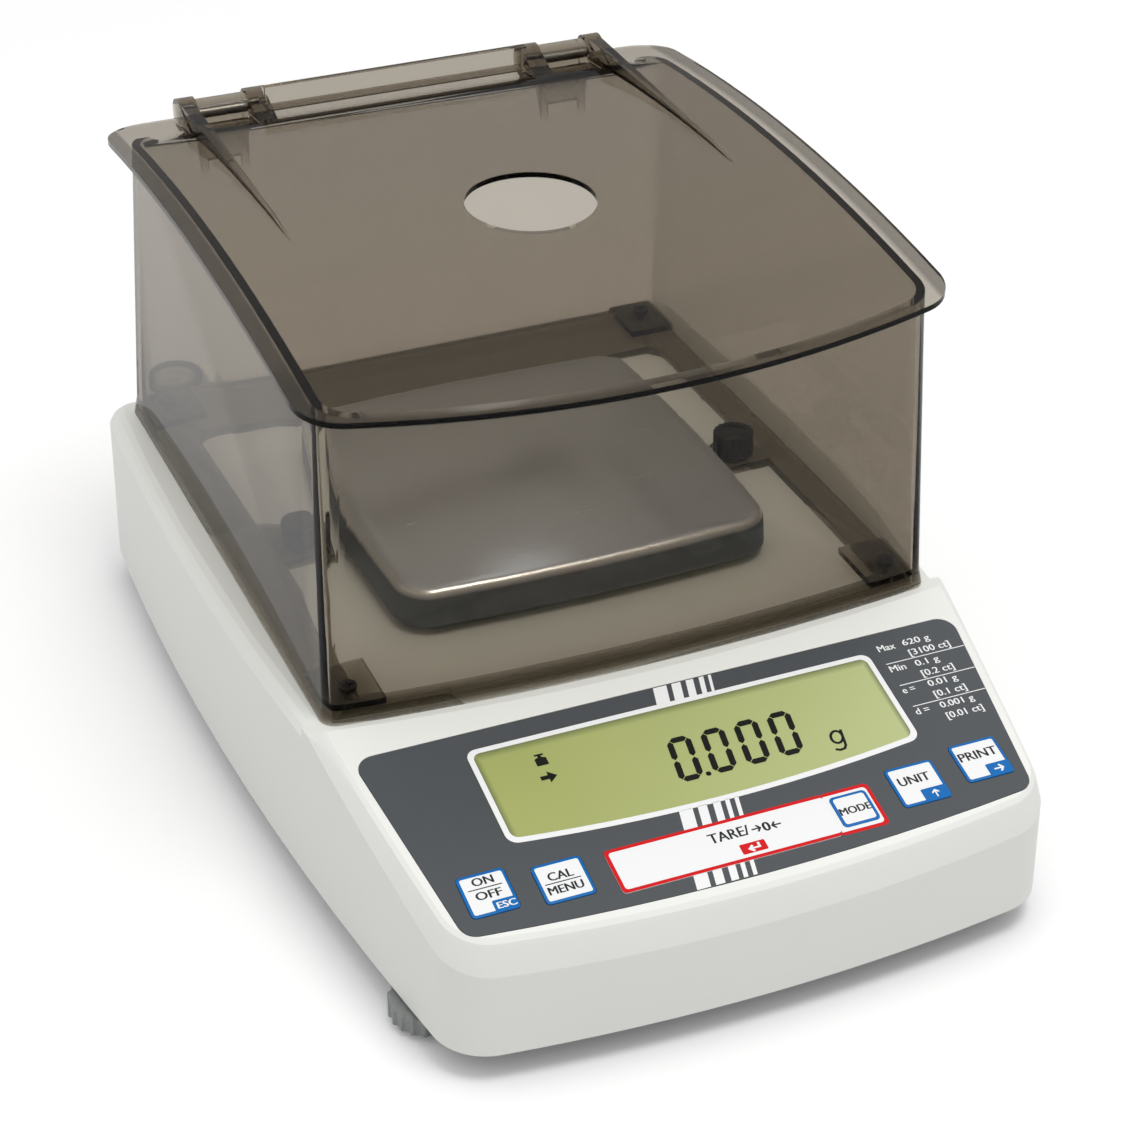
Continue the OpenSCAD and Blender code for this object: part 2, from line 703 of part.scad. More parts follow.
// smoked box of the shield with corner pads and hinge knuckles
module shield_box() color([0.35, 0.33, 0.3, 0.55]) {
  difference() {
    union() {
      intersection() {
        difference() {
          union() {
            shield_form(0, 0);
            shield_flare();
          }
          shield_form(shield_t, 1);
        }
        arch(-lid_t - seat_gap);
      }
      // corner pads that lie on the foot frame
      translate([0, 0, frame_top + 0.1]) linear_extrude(2)
        intersection() {
          shield_plan(shield_t / 2, 0);
          for (x = [-1, 1])
            for (y = [screw_y[0] + 2.5, screw_y[1] - 2.5])
              translate([x * (screw_x + 1.4), y]) square([20, 20], center = true);
        }
      // knuckle posts and gussets on the rear wall
      for (s = [-1, 1])
        translate([s > 0 ? knuckle[0] : -knuckle[1], 0, 0]) knuckle_body();
    }
    // room for the lid's rear edge when it swings up
    translate([-body_w, axis_y, axis_z]) rotate([0, 90, 0])
      difference() {
        cylinder(r = clear_r, h = 2 * body_w);
        for (s = [-1, 1])
          translate([0, 0, body_w + (s > 0 ? knuckle[0] : -knuckle[1])])
            cylinder(r = clear_r + 1, h = knuckle[1] - knuckle[0]);
      }
    for (s = [-1, 1])
      translate([s > 0 ? knuckle[0] - 1 : -knuckle[1] - 1, axis_y, axis_z]) rotate([0, 90, 0])
        cylinder(r = pin_r + run_gap, h = knuckle[1] - knuckle[0] + 2);
    for (x = [-screw_x, screw_x])
      for (y = screw_y)
        translate([x, y, frame_top - 1]) cylinder(r = 1.7, h = 5);
  }
}

// one knuckle: barrel, post down to the wall and a tapering gusset
module knuckle_body() {
  w = knuckle[1] - knuckle[0];
  translate([0, axis_y, axis_z]) rotate([0, 90, 0]) cylinder(r = 4.6, h = w);
  rotate([90, 0, 90]) linear_extrude(w)
    polygon([[axis_y - 3.4, axis_z - 16], [axis_y - 3.4, axis_z], [axis_y + 3, axis_z],
             [axis_y + 2.4, axis_z - 12], [axis_y, axis_z - 16]]);
  for (x = [0, w - 2.4])
    translate([x, 0, 0]) rotate([90, 0, 90]) linear_extrude(2.4)
      polygon([[axis_y - 3.2, axis_z - 24], [axis_y - 3.2, axis_z - 14],
               [axis_y + 3, axis_z - 6], [axis_y + 2.6, axis_z - 12]]);
}

// foot frame inside the shield with two tabs for the thumb screws
module shield_frame() color([0.28, 0.26, 0.24, 0.7])
  translate([0, 0, shield_z]) linear_extrude(frame_t)
    difference() {
      shield_plan(shield_t + 0.2, 0);
      difference() {
        frame_opening();
        for (m = [0, 1])
          mirror([m, 0])
            translate([knob_x, knob_y])
              polygon([[15.5, -8.5], [-6.7, -8.5], [-6.7, 5.5], [8, 15.5], [15.5, 15.5]]);
      }
      for (x = [-knob_x, knob_x])
        translate([x, knob_y]) circle(r = thumb_r + 0.4);
      for (x = [-screw_x, screw_x])
        for (y = screw_y)
          translate([x, y]) circle(r = 1.35);
    }

// opening of the frame, bowed in front like the shield
module frame_opening()
  intersection() {
    translate([0, (shield_front_y + shield_back_y - 25.7) / 2])
      round_rect(shield_w - 23.2, shield_back_y - shield_front_y - 38.7, 6);
    translate([0, shield_front_y + 7.4 + 1 / foot_bow]) circle(r = 1 / foot_bow, $fn = bow_fn);
  }

// small pan-head screw at one corner of the frame
module frame_screw(x, y) color([0.16, 0.16, 0.16])
  translate([x, y, shield_z + 0.4])
    difference() {
      union() {
        cylinder(r = 1.3, h = frame_t + 2);
        translate([0, 0, frame_t + 1.8]) cylinder(r = 2.6, h = 1.3);
      }
      translate([-0.4, -1.8, frame_t + 2.5]) cube([0.8, 3.6, 2]);
      translate([-1.8, -0.4, frame_t + 2.5]) cube([3.6, 0.8, 2]);
    }

module frame_screw_fl() frame_screw(-screw_x, screw_y[0]);
module frame_screw_fr() frame_screw(screw_x, screw_y[0]);
module frame_screw_rl() frame_screw(-screw_x, screw_y[1]);
module frame_screw_rr() frame_screw(screw_x, screw_y[1]);

// knurled thumb screw that clamps the frame to the deck
module thumb_screw(x) color([0.14, 0.14, 0.14])
  translate([x, knob_y, frame_top + 0.2]) {
    difference() {
      cylinder(r = knob_r, h = 7.6);
      for (a = [0:20:340])
        rotate([0, 0, a]) translate([knob_r + 0.35, 0, 1]) cylinder(r = 0.8, h = 8, $fn = 14);
      translate([0, 0, 6.8]) cylinder(r = 4.4, h = 2);
    }
    translate([0, 0, -13]) cylinder(r = thumb_r, h = 13.5);
  }

module thumb_screw_left() thumb_screw(-knob_x);
module thumb_screw_right() thumb_screw(knob_x);

// lid outline: bowed front edge, rounded corners
module lid_plan()
  offset(r = 14, $fn = 40) offset(delta = -14)
    intersection() {
      translate([-lid_w / 2, lid_front_y]) square([lid_w, lid_back_y - lid_front_y]);
      translate([0, lid_front_y + lid_bow_r]) circle(r = lid_bow_r, $fn = bow_fn);
    }

// arched sheet of the lid
module lid_sheet()
  intersection() {
    translate([0, 0, lid_top_z - 40]) linear_extrude(60) lid_plan();
    difference() {
      arch(0);
      arch(-lid_t);
    }
  }

// long rib that starts at the outer hinge ear and runs out to a point
module lid_rib(x)
  intersection() {
    translate([x - 3, 0, 0]) rotate([90, 0, 90]) linear_extrude(6)
      polygon([[arch_y - 14, lid_top_z - 1], [arch_y - 14, lid_top_z],
               [arch_y + 2, lid_top_z + 1.2], [axis_y - 4, axis_z + 5.2],
               [axis_y, axis_z + 4.6], [axis_y, axis_z - 3], [arch_y + 40, lid_top_z - 1.2]]);
    translate([x, 0, lid_top_z - 20]) linear_extrude(40)
      polygon([[-0.3, arch_y - 15], [0.3, arch_y - 15], [2.2, axis_y], [-2.2, axis_y]]);
  }

// one hinge ear of the lid
module lid_ear(span)
  translate([span[0], 0, 0]) {
    translate([0, axis_y, axis_z]) rotate([0, 90, 0])
      cylinder(r = ear_r, h = span[1] - span[0]);
    rotate([90, 0, 90]) linear_extrude(span[1] - span[0])
      polygon([[axis_y - 16, axis_z - 0.6], [axis_y, axis_z + ear_r], [axis_y, axis_z - ear_r],
               [axis_y - 4, axis_z - 4], [axis_y - 16, axis_z - 1.6]]);
  }

// arched lid: thin sheet with filling hole, ears, ribs and rear stiffener
module shield_lid() color([0.35, 0.33, 0.3, 0.55])
  difference() {
    union() {
      lid_sheet();
      for (s = [-1, 1]) {
        lid_ear(s > 0 ? ear_out : [-ear_out[1], -ear_out[0]]);
        lid_ear(s > 0 ? ear_in : [-ear_in[1], -ear_in[0]]);
        lid_rib(s * (ear_out[1] - 2.4));
      }
      // upright stiffener between the inner ears
      translate([-ear_in[0] - 1, axis_y - 3.9, axis_z - 3]) cube([2 * ear_in[0] + 2, 2.6, 9.6]);
    }
    translate([hole_x, hole_y, lid_top_z - 10]) cylinder(r = hole_r, h = 20, $fn = 96);
    // slots in the rear edge for the knuckles
    for (s = [-1, 1])
      translate([s > 0 ? knuckle[0] - gap : -knuckle[1] - gap, axis_y - 5.6, axis_z - 20])
        cube([knuckle[1] - knuckle[0] + 2 * gap, 40, 40]);
    // blind bores for the hinge pins
    for (s = [-1, 1])
      translate([s > 0 ? ear_in[0] + 2 : -ear_out[1] + 2, axis_y, axis_z]) rotate([0, 90, 0])
        cylinder(r = pin_r + 0.02, h = ear_out[1] - ear_in[0] - 4);
  }

// steel pin, tight in the lid's ears, turning in the knuckle
module hinge_pin(s) color([0.75, 0.76, 0.77])
  translate([s > 0 ? ear_in[0] + 2.2 : -ear_out[1] + 2.2, axis_y, axis_z]) rotate([0, 90, 0])
    cylinder(r = pin_r, h = ear_out[1] - ear_in[0] - 4.4);

module hinge_pin_left() hinge_pin(-1);
module hinge_pin_right() hinge_pin(1);

// Spirit level

// black cup set into the rear boss
module level_cup() color([0.1, 0.1, 0.1])
  translate([level_pos[0], level_pos[1], deck_z - 9])
    difference() {
      union() {
        cylinder(r = level_r - 2.8, h = 9.6);
        translate([0, 0, 9.05]) cylinder(r = level_r - 0.8, h = 0.95);
      }
      translate([0, 0, 2]) cylinder(r = level_r - 4, h = 10);
    }

// glass vial with its ring mark
module level_vial() color([0.7, 0.8, 0.4, 0.6])
  translate([level_pos[0], level_pos[1], deck_z - 7])
    difference() {
      cylinder(r = level_r - 4.05, h = 7.6);
      translate([0, 0, 7.3]) difference() {
        cylinder(r = 3.2, h = 1);
        cylinder(r = 2.8, h = 1);
      }
    }

// Feet

// brass thread insert in the tray
module foot_insert(p) color([0.75, 0.6, 0.3])
  translate([p[0], p[1], tray_z + 0.4])
    difference() {
      cylinder(r = 3.4, h = 10);
      translate([0, 0, -1]) cylinder(r = stud_r + run_gap, h = 12);
    }

// soft tip that stays still while the wheel turns
module foot_pad(p) color([0.2, 0.2, 0.2])
  translate([p[0], p[1], 0]) {
    rotate_extrude()
      polygon([[0, 0], [7.4, 0], [8.2, 0.8], [8.2, 1.8], [0, 1.8]]);
    cylinder(r = 2, h = 4.6);
  }

// knurled wheel with its threaded stud
module foot_wheel(p) color([0.55, 0.56, 0.56, 0.8])
  translate([p[0], p[1], 0])
    difference() {
      union() {
        translate([0, 0, 2]) cylinder(r = wheel_r, h = 5.2);
        translate([0, 0, 6]) cylinder(r = stud_r, h = 14);
      }
      for (a = [0:18:342])
        rotate([0, 0, a]) translate([wheel_r + 0.9, 0, 1]) cylinder(r = 1.7, h = 7, $fn = 16);
      translate([0, 0, 1]) cylinder(r = 2 + run_gap, h = 4);
    }

module foot_insert_fl() foot_insert(foot_pos[0]);
module foot_insert_fr() foot_insert(foot_pos[1]);
module foot_insert_rl() foot_insert(foot_pos[2]);
module foot_insert_rr() foot_insert(foot_pos[3]);
module foot_pad_fl() foot_pad(foot_pos[0]);
module foot_pad_fr() foot_pad(foot_pos[1]);
module foot_pad_rl() foot_pad(foot_pos[2]);
module foot_pad_rr() foot_pad(foot_pos[3]);
module foot_wheel_fl() foot_wheel(foot_pos[0]);
module foot_wheel_fr() foot_wheel(foot_pos[1]);
module foot_wheel_rl() foot_wheel(foot_pos[2]);
module foot_wheel_rr() foot_wheel(foot_pos[3]);

// screw from the tray into the cover's post
module base_screw(p) color([0.7, 0.7, 0.72])
  translate([p[0], p[1], tray_z + 0.3]) {
    cylinder(r = 3, h = 1.6);
    cylinder(r = 1.45, h = 12);
  }

module base_screw_fl() base_screw(post_pos[0]);
module base_screw_fr() base_screw(post_pos[1]);
module base_screw_rl() base_screw(post_pos[2]);
module base_screw_rr() base_screw(post_pos[3]);

// Drawn pieces
top_cover();
base_tray();
key_film();
switch_sheet();
display_window();
lcd_display();
display_board();
power_key();
menu_key();
tare_key();
mode_key();
unit_key();
print_key();
main_board();
power_jack();
serial_port();
load_cell();
cell_bracket();
pan_support();
pan_cushion_fl();
pan_cushion_fr();
pan_cushion_rl();
pan_cushion_rr();
weighing_pan();
shield_box();
shield_frame();
frame_screw_fl();
frame_screw_fr();
frame_screw_rl();
frame_screw_rr();
thumb_screw_left();
thumb_screw_right();
shield_lid();
hinge_pin_left();
hinge_pin_right();
level_cup();
level_vial();
foot_insert_fl();
foot_insert_fr();
foot_insert_rl();
foot_insert_rr();
foot_pad_fl();
foot_pad_fr();
foot_pad_rl();
foot_pad_rr();
foot_wheel_fl();
foot_wheel_fr();
foot_wheel_rl();
foot_wheel_rr();
base_screw_fl();
base_screw_fr();
base_screw_rl();
base_screw_rr();
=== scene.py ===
import json
import math

import bpy
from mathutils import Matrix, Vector


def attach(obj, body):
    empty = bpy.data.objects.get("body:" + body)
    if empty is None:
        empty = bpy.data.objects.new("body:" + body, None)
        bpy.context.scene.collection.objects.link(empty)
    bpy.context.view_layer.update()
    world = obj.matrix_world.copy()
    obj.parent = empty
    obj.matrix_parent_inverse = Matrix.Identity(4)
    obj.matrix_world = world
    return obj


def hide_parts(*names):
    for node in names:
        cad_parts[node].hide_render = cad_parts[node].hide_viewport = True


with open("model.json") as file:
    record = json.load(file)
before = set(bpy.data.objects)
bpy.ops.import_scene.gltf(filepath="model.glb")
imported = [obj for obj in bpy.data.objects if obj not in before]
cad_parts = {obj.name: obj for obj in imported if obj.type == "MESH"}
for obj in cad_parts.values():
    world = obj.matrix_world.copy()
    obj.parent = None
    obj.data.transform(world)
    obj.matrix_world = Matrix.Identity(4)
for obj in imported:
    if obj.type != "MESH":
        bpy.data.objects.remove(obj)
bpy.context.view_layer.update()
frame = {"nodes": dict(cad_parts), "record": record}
rides_on = {n: body for body, nodes in frame["record"]["behaviour"]["bodies"].items() for n in nodes}


# Base tray: one dark grey ABS moulding that closes the housing from below, with ribs, sockets
# for the feet and cooling slots. It is screwed to the cover and comes from its mould with a
# fine spark-eroded grain.
def linear(code):
    parts = [int(code[i:i + 2], 16) / 255 for i in (1, 3, 5)]
    return tuple(c / 12.92 if c < 0.04045 else ((c + 0.055) / 1.055) ** 2.4 for c in parts) + (1.0,)


def wire(mat, kind, settings=None, **links):
    """Adds one shader node, sets its sockets and properties, and links the sockets named."""
    node = mat.node_tree.nodes.new(kind)
    for key, value in (settings or {}).items():
        if key in node.inputs:
            node.inputs[key].default_value = value
        else:
            setattr(node, key, value)
    for key, source in links.items():
        mat.node_tree.links.new(source, node.inputs[key.replace("_", " ")])
    return node


def fresh(name):
    """A new material with an empty node tree and its output node."""
    mat = bpy.data.materials.new(name)
    mat.use_nodes = True
    mat.node_tree.nodes.clear()
    return mat, mat.node_tree.nodes.new("ShaderNodeOutputMaterial")


def close_up(mat, out, shader):
    mat.node_tree.links.new(shader.outputs[0], out.inputs["Surface"])


# Moulded ABS: 0.5 mm grain that scatters the highlight, a little uneven in tone.
abs_grey, out = fresh("moulded dark grey ABS")
place = wire(abs_grey, "ShaderNodeTexCoord")
grain = wire(abs_grey, "ShaderNodeTexNoise", {"Scale": 1 / 0.0005, "Detail": 3.0},
             Vector=place.outputs["Object"])
tone = wire(abs_grey, "ShaderNodeTexNoise", {"Scale": 1 / 0.03, "Detail": 2.0},
            Vector=place.outputs["Object"])
shade = wire(abs_grey, "ShaderNodeMixRGB", {"Color1": linear("#3A3D40"), "Color2": linear("#45484B")},
             Fac=tone.outputs["Fac"])
bump = wire(abs_grey, "ShaderNodeBump", {"Strength": 0.15, "Distance": 0.0001},
            Height=grain.outputs["Fac"])
shader = wire(abs_grey, "ShaderNodeBsdfPrincipled", {"Roughness": 0.55},
              Base_Color=shade.outputs["Color"], Normal=bump.outputs["Normal"])
close_up(abs_grey, out, shader)


def dressed(node, piece, mat, angle=32, bevel=0.0):
    """A welded, smooth-shaded copy of a CAD solid in its finish, shown in the solid's place."""
    bpy.ops.object.select_all(action="DESELECT")
    obj = bpy.data.objects.new(piece, frame["nodes"][node].data.copy())
    bpy.context.collection.objects.link(obj)
    bpy.context.view_layer.objects.active = obj
    obj.select_set(True)
    obj.data.materials.clear()
    obj.data.materials.append(mat)
    if obj.data.has_custom_normals:
        bpy.ops.mesh.customdata_custom_splitnormals_clear()
    bpy.ops.object.mode_set(mode="EDIT")
    bpy.ops.mesh.select_all(action="SELECT")
    bpy.ops.mesh.remove_doubles(threshold=0.000004)
    bpy.ops.mesh.dissolve_limited(angle_limit=math.radians(0.4))
    bpy.ops.object.mode_set(mode="OBJECT")
    if bevel:
        edge = obj.modifiers.new("edge", "BEVEL")
        edge.width = bevel
        edge.segments = 2
        edge.limit_method = "ANGLE"
        edge.angle_limit = math.radians(40)
        bpy.ops.object.modifier_apply(modifier="edge")
    bpy.ops.object.shade_smooth_by_angle(angle=math.radians(angle))
    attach(obj, rides_on[node])
    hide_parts(node)
    return obj


def finish_solid(node, mat):
    """Gives a CAD solid that stays as it is its real finish."""
    mesh = frame["nodes"][node].data
    mesh.materials.clear()
    mesh.materials.append(mat)


dressed("base_tray", "moulded_base_tray", abs_grey)

# Feet: knurled grey nylon wheels with zinc-plated studs turn in brass inserts of the tray, each
# on a soft black tip that stays still on the table.
nylon, out = fresh("knurled grey nylon")
place = wire(nylon, "ShaderNodeTexCoord")
grain = wire(nylon, "ShaderNodeTexNoise", {"Scale": 1 / 0.0008, "Detail": 3.0},
             Vector=place.outputs["Object"])
shade = wire(nylon, "ShaderNodeMixRGB", {"Color1": linear("#848786"), "Color2": linear("#949795")},
             Fac=grain.outputs["Fac"])
bump = wire(nylon, "ShaderNodeBump", {"Strength": 0.1, "Distance": 0.0001},
            Height=grain.outputs["Fac"])
shader = wire(nylon, "ShaderNodeBsdfPrincipled",
              {"Roughness": 0.35, "Subsurface Weight": 0.15, "Subsurface Radius": (0.002, 0.002, 0.002)},
              Base_Color=shade.outputs["Color"], Normal=bump.outputs["Normal"])
close_up(nylon, out, shader)

# Moulded rubber: dull black with a slight bloom.
rubber, out = fresh("moulded black rubber")
place = wire(rubber, "ShaderNodeTexCoord")
bloom = wire(rubber, "ShaderNodeTexNoise", {"Scale": 1 / 0.004, "Detail": 4.0},
             Vector=place.outputs["Object"])
shade = wire(rubber, "ShaderNodeMixRGB", {"Color1": linear("#151516"), "Color2": linear("#222223")},
             Fac=bloom.outputs["Fac"])
shader = wire(rubber, "ShaderNodeBsdfPrincipled", {"Roughness": 0.75}, Base_Color=shade.outputs["Color"])
close_up(rubber, out, shader)

# Turned brass: warm yellow with faint tool rings.
brass, out = fresh("turned brass")
place = wire(brass, "ShaderNodeTexCoord")
rings = wire(brass, "ShaderNodeTexNoise", {"Scale": 1 / 0.0006, "Detail": 2.0},
             Vector=place.outputs["Object"])
rough = wire(brass, "ShaderNodeMapRange", {"To Min": 0.25, "To Max": 0.45}, Value=rings.outputs["Fac"])
shader = wire(brass, "ShaderNodeBsdfPrincipled", {"Base Color": linear("#C9A24E"), "Metallic": 1.0},
              Roughness=rough.outputs["Result"])
close_up(brass, out, shader)

# Zinc-plated steel of the screws and pins: light grey, slightly mottled.
zinc, out = fresh("zinc plated steel")
place = wire(zinc, "ShaderNodeTexCoord")
mottle = wire(zinc, "ShaderNodeTexNoise", {"Scale": 1 / 0.0015, "Detail": 3.0},
              Vector=place.outputs["Object"])
rough = wire(zinc, "ShaderNodeMapRange", {"To Min": 0.22, "To Max": 0.42}, Value=mottle.outputs["Fac"])
shader = wire(zinc, "ShaderNodeBsdfPrincipled", {"Base Color": linear("#B9BBBD"), "Metallic": 1.0},
              Roughness=rough.outputs["Result"])
close_up(zinc, out, shader)

for corner in ("fl", "fr", "rl", "rr"):
    dressed("foot_wheel_" + corner, "levelling_wheel_" + corner, nylon, angle=25, bevel=0.0003)
    dressed("foot_pad_" + corner, "soft_foot_tip_" + corner, rubber)
    finish_solid("foot_insert_" + corner, brass)
    finish_solid("base_screw_" + corner, zinc)

# Load cell, bracket, pan column and circuit boards: the weighing works inside the housing,
# milled aluminium on a cast bracket, with green boards beside it.
aluminium, out = fresh("milled aluminium")
place = wire(aluminium, "ShaderNodeTexCoord")
marks = wire(aluminium, "ShaderNodeTexWave", {"Scale": 1 / 0.004, "Distortion": 1.5, "Detail": 2.0},
             Vector=place.outputs["Object"])
rough = wire(aluminium, "ShaderNodeMapRange", {"To Min": 0.28, "To Max": 0.4},
             Value=marks.outputs["Fac"])
shader = wire(aluminium, "ShaderNodeBsdfPrincipled", {"Base Color": linear("#C4C6C8"), "Metallic": 1.0},
              Roughness=rough.outputs["Result"])
close_up(aluminium, out, shader)

# Die-cast aluminium: darker and grainy.
cast, out = fresh("die cast aluminium")
place = wire(cast, "ShaderNodeTexCoord")
grain = wire(cast, "ShaderNodeTexNoise", {"Scale": 1 / 0.0012, "Detail": 4.0},
             Vector=place.outputs["Object"])
bump = wire(cast, "ShaderNodeBump", {"Strength": 0.3, "Distance": 0.0002}, Height=grain.outputs["Fac"])
shader = wire(cast, "ShaderNodeBsdfPrincipled",
              {"Base Color": linear("#8C8F91"), "Metallic": 1.0, "Roughness": 0.5},
              Normal=bump.outputs["Normal"])
close_up(cast, out, shader)

# Fibreglass board under green solder mask, with copper tracks as a faint grid.
board, out = fresh("green solder mask")
place = wire(board, "ShaderNodeTexCoord")
tracks = wire(board, "ShaderNodeTexBrick", {"Scale": 1 / 0.004, "Color1": linear("#1F6B3A"),
                                            "Color2": linear("#1B5F34"), "Mortar": linear("#2B7D48")},
              Vector=place.outputs["Object"])
shader = wire(board, "ShaderNodeBsdfPrincipled", {"Roughness": 0.3}, Base_Color=tracks.outputs["Color"])
close_up(board, out, shader)

for node, mat in (("load_cell", aluminium), ("cell_bracket", cast), ("pan_support", aluminium),
                  ("main_board", board), ("display_board", board)):
    finish_solid(node, mat)

# Rear sockets: a black moulded adapter inlet and a plated data socket, held from inside the
# rear wall.
socket_black, out = fresh("black moulded nylon")
place = wire(socket_black, "ShaderNodeTexCoord")
grain = wire(socket_black, "ShaderNodeTexNoise", {"Scale": 1 / 0.0005, "Detail": 2.0},
             Vector=place.outputs["Object"])
rough = wire(socket_black, "ShaderNodeMapRange", {"To Min": 0.35, "To Max": 0.5},
             Value=grain.outputs["Fac"])
shader = wire(socket_black, "ShaderNodeBsdfPrincipled", {"Base Color": linear("#19191A")},
              Roughness=rough.outputs["Result"])
close_up(socket_black, out, shader)
dressed("power_jack", "adapter_inlet", socket_black)
dressed("serial_port", "data_socket", zinc)

# Housing cover: one off-white ABS moulding with bowed sides, a canted shoulder around the
# sloping control panel and a flat deck for the draught shield, satin from the mould.
abs_white, out = fresh("moulded off-white ABS")
place = wire(abs_white, "ShaderNodeTexCoord")
grain = wire(abs_white, "ShaderNodeTexNoise", {"Scale": 1 / 0.0006, "Detail": 3.0},
             Vector=place.outputs["Object"])
tone = wire(abs_white, "ShaderNodeTexNoise", {"Scale": 1 / 0.06, "Detail": 2.0},
            Vector=place.outputs["Object"])
shade = wire(abs_white, "ShaderNodeMixRGB", {"Color1": linear("#F1F2ED"), "Color2": linear("#F6F7F2")},
             Fac=tone.outputs["Fac"])
bump = wire(abs_white, "ShaderNodeBump", {"Strength": 0.06, "Distance": 0.0001},
            Height=grain.outputs["Fac"])
shader = wire(abs_white, "ShaderNodeBsdfPrincipled", {"Roughness": 0.42},
              Base_Color=shade.outputs["Color"], Normal=bump.outputs["Normal"])
close_up(abs_white, out, shader)
dressed("top_cover", "moulded_housing_cover", abs_white, angle=12)

# Keypad: a dark grey polyester film printed from behind, laid in a shallow seat of the panel
# over the switch sheet, with windows for the display and the embossed keys.
film_grey, out = fresh("printed dark grey polyester film")
place = wire(film_grey, "ShaderNodeTexCoord")
fine = wire(film_grey, "ShaderNodeTexNoise", {"Scale": 1 / 0.0004, "Detail": 2.0},
            Vector=place.outputs["Object"])
shade = wire(film_grey, "ShaderNodeMixRGB", {"Color1": linear("#474B4F"), "Color2": linear("#4D5155")},
             Fac=fine.outputs["Fac"])
bump = wire(film_grey, "ShaderNodeBump", {"Strength": 0.04, "Distance": 0.00005},
            Height=fine.outputs["Fac"])
shader = wire(film_grey, "ShaderNodeBsdfPrincipled", {"Roughness": 0.4},
              Base_Color=shade.outputs["Color"], Normal=bump.outputs["Normal"])
close_up(film_grey, out, shader)
dressed("key_film", "printed_key_film", film_grey)

polyester, out = fresh("clear polyester sheet")
place = wire(polyester, "ShaderNodeTexCoord")
fine = wire(polyester, "ShaderNodeTexNoise", {"Scale": 1 / 0.002}, Vector=place.outputs["Object"])
shade = wire(polyester, "ShaderNodeMixRGB", {"Color1": linear("#C9CDC8"), "Color2": linear("#BFC4BE")},
             Fac=fine.outputs["Fac"])
shader = wire(polyester, "ShaderNodeBsdfPrincipled", {"Roughness": 0.3}, Base_Color=shade.outputs["Color"])
close_up(polyester, out, shader)
finish_solid("switch_sheet", polyester)


# Printing on the film: opaque white, red, blue and black inks, screen printed a few hundredths
# of a millimetre thick. Each patch of ink is a thin flat piece just above the film.
def ink(name, code):
    """Screen-printed ink: flat colour with the slight mottle of the mesh, satin."""
    mat, end = fresh(name)
    spot = wire(mat, "ShaderNodeTexCoord")
    mesh_marks = wire(mat, "ShaderNodeTexNoise", {"Scale": 1 / 0.0003, "Detail": 1.0},
                      Vector=spot.outputs["Object"])
    dark = tuple(c * 0.95 for c in linear(code)[:3]) + (1.0,)
    mix = wire(mat, "ShaderNodeMixRGB", {"Color1": dark, "Color2": linear(code)},
               Fac=mesh_marks.outputs["Fac"])
    face = wire(mat, "ShaderNodeBsdfPrincipled", {"Roughness": 0.45, "Specular IOR Level": 0.25},
                Base_Color=mix.outputs["Color"])
    close_up(mat, end, face)
    return mat


white_ink = ink("white screen ink", "#FAFBFB")
red_ink = ink("red screen ink", "#DC0812")
blue_ink = ink("blue screen ink", "#006DBB")
black_ink = ink("black screen ink", "#24272A")
panel_tilt = math.radians(14.06)
panel_start = Vector((0, -0.155, 0.0431))

# heights above the film in mm: its own printing, the white faces of the keys, the words and
# coloured tags on those faces, and the marks on the tags
film_lift = 0.03
face_lift = 0.27
mark_lift = 0.29
tag_mark_lift = 0.31


def on_panel(x, y, z=0.0):
    """A point of the sloping panel, in mm across, up the slope and out of it."""
    return panel_start + Vector((x, y * math.cos(panel_tilt) - z * math.sin(panel_tilt),
                                 y * math.sin(panel_tilt) + z * math.cos(panel_tilt))) / 1000


def patch(name, corners, mat, lift, radius=0.0):
    """A flat patch on the panel from its corners, listed counter-clockwise, with rounded corners."""
    bpy.ops.object.select_all(action="DESELECT")
    bpy.ops.mesh.primitive_circle_add(vertices=len(corners), radius=0.01, fill_type="NGON")
    obj = bpy.context.object
    obj.name = name
    mesh = obj.data
    for vert, (x, y) in zip(mesh.vertices, corners):
        vert.co = (x / 1000, y / 1000, 0)
    mesh.update()
    if radius:
        bpy.ops.object.mode_set(mode="EDIT")
        bpy.ops.mesh.select_all(action="SELECT")
        bpy.ops.mesh.bevel(offset=radius / 1000, segments=6, affect="VERTICES")
        bpy.ops.object.mode_set(mode="OBJECT")
    if mesh.polygons[0].normal.z < 0:
        mesh.flip_normals()
    for vert in mesh.vertices:
        vert.co = on_panel(vert.co.x * 1000, vert.co.y * 1000, lift)
    mesh.materials.append(mat)
    return obj


def rect(x0, y0, x1, y1):
    return [(x0, y0), (x1, y0), (x1, y1), (x0, y1)]


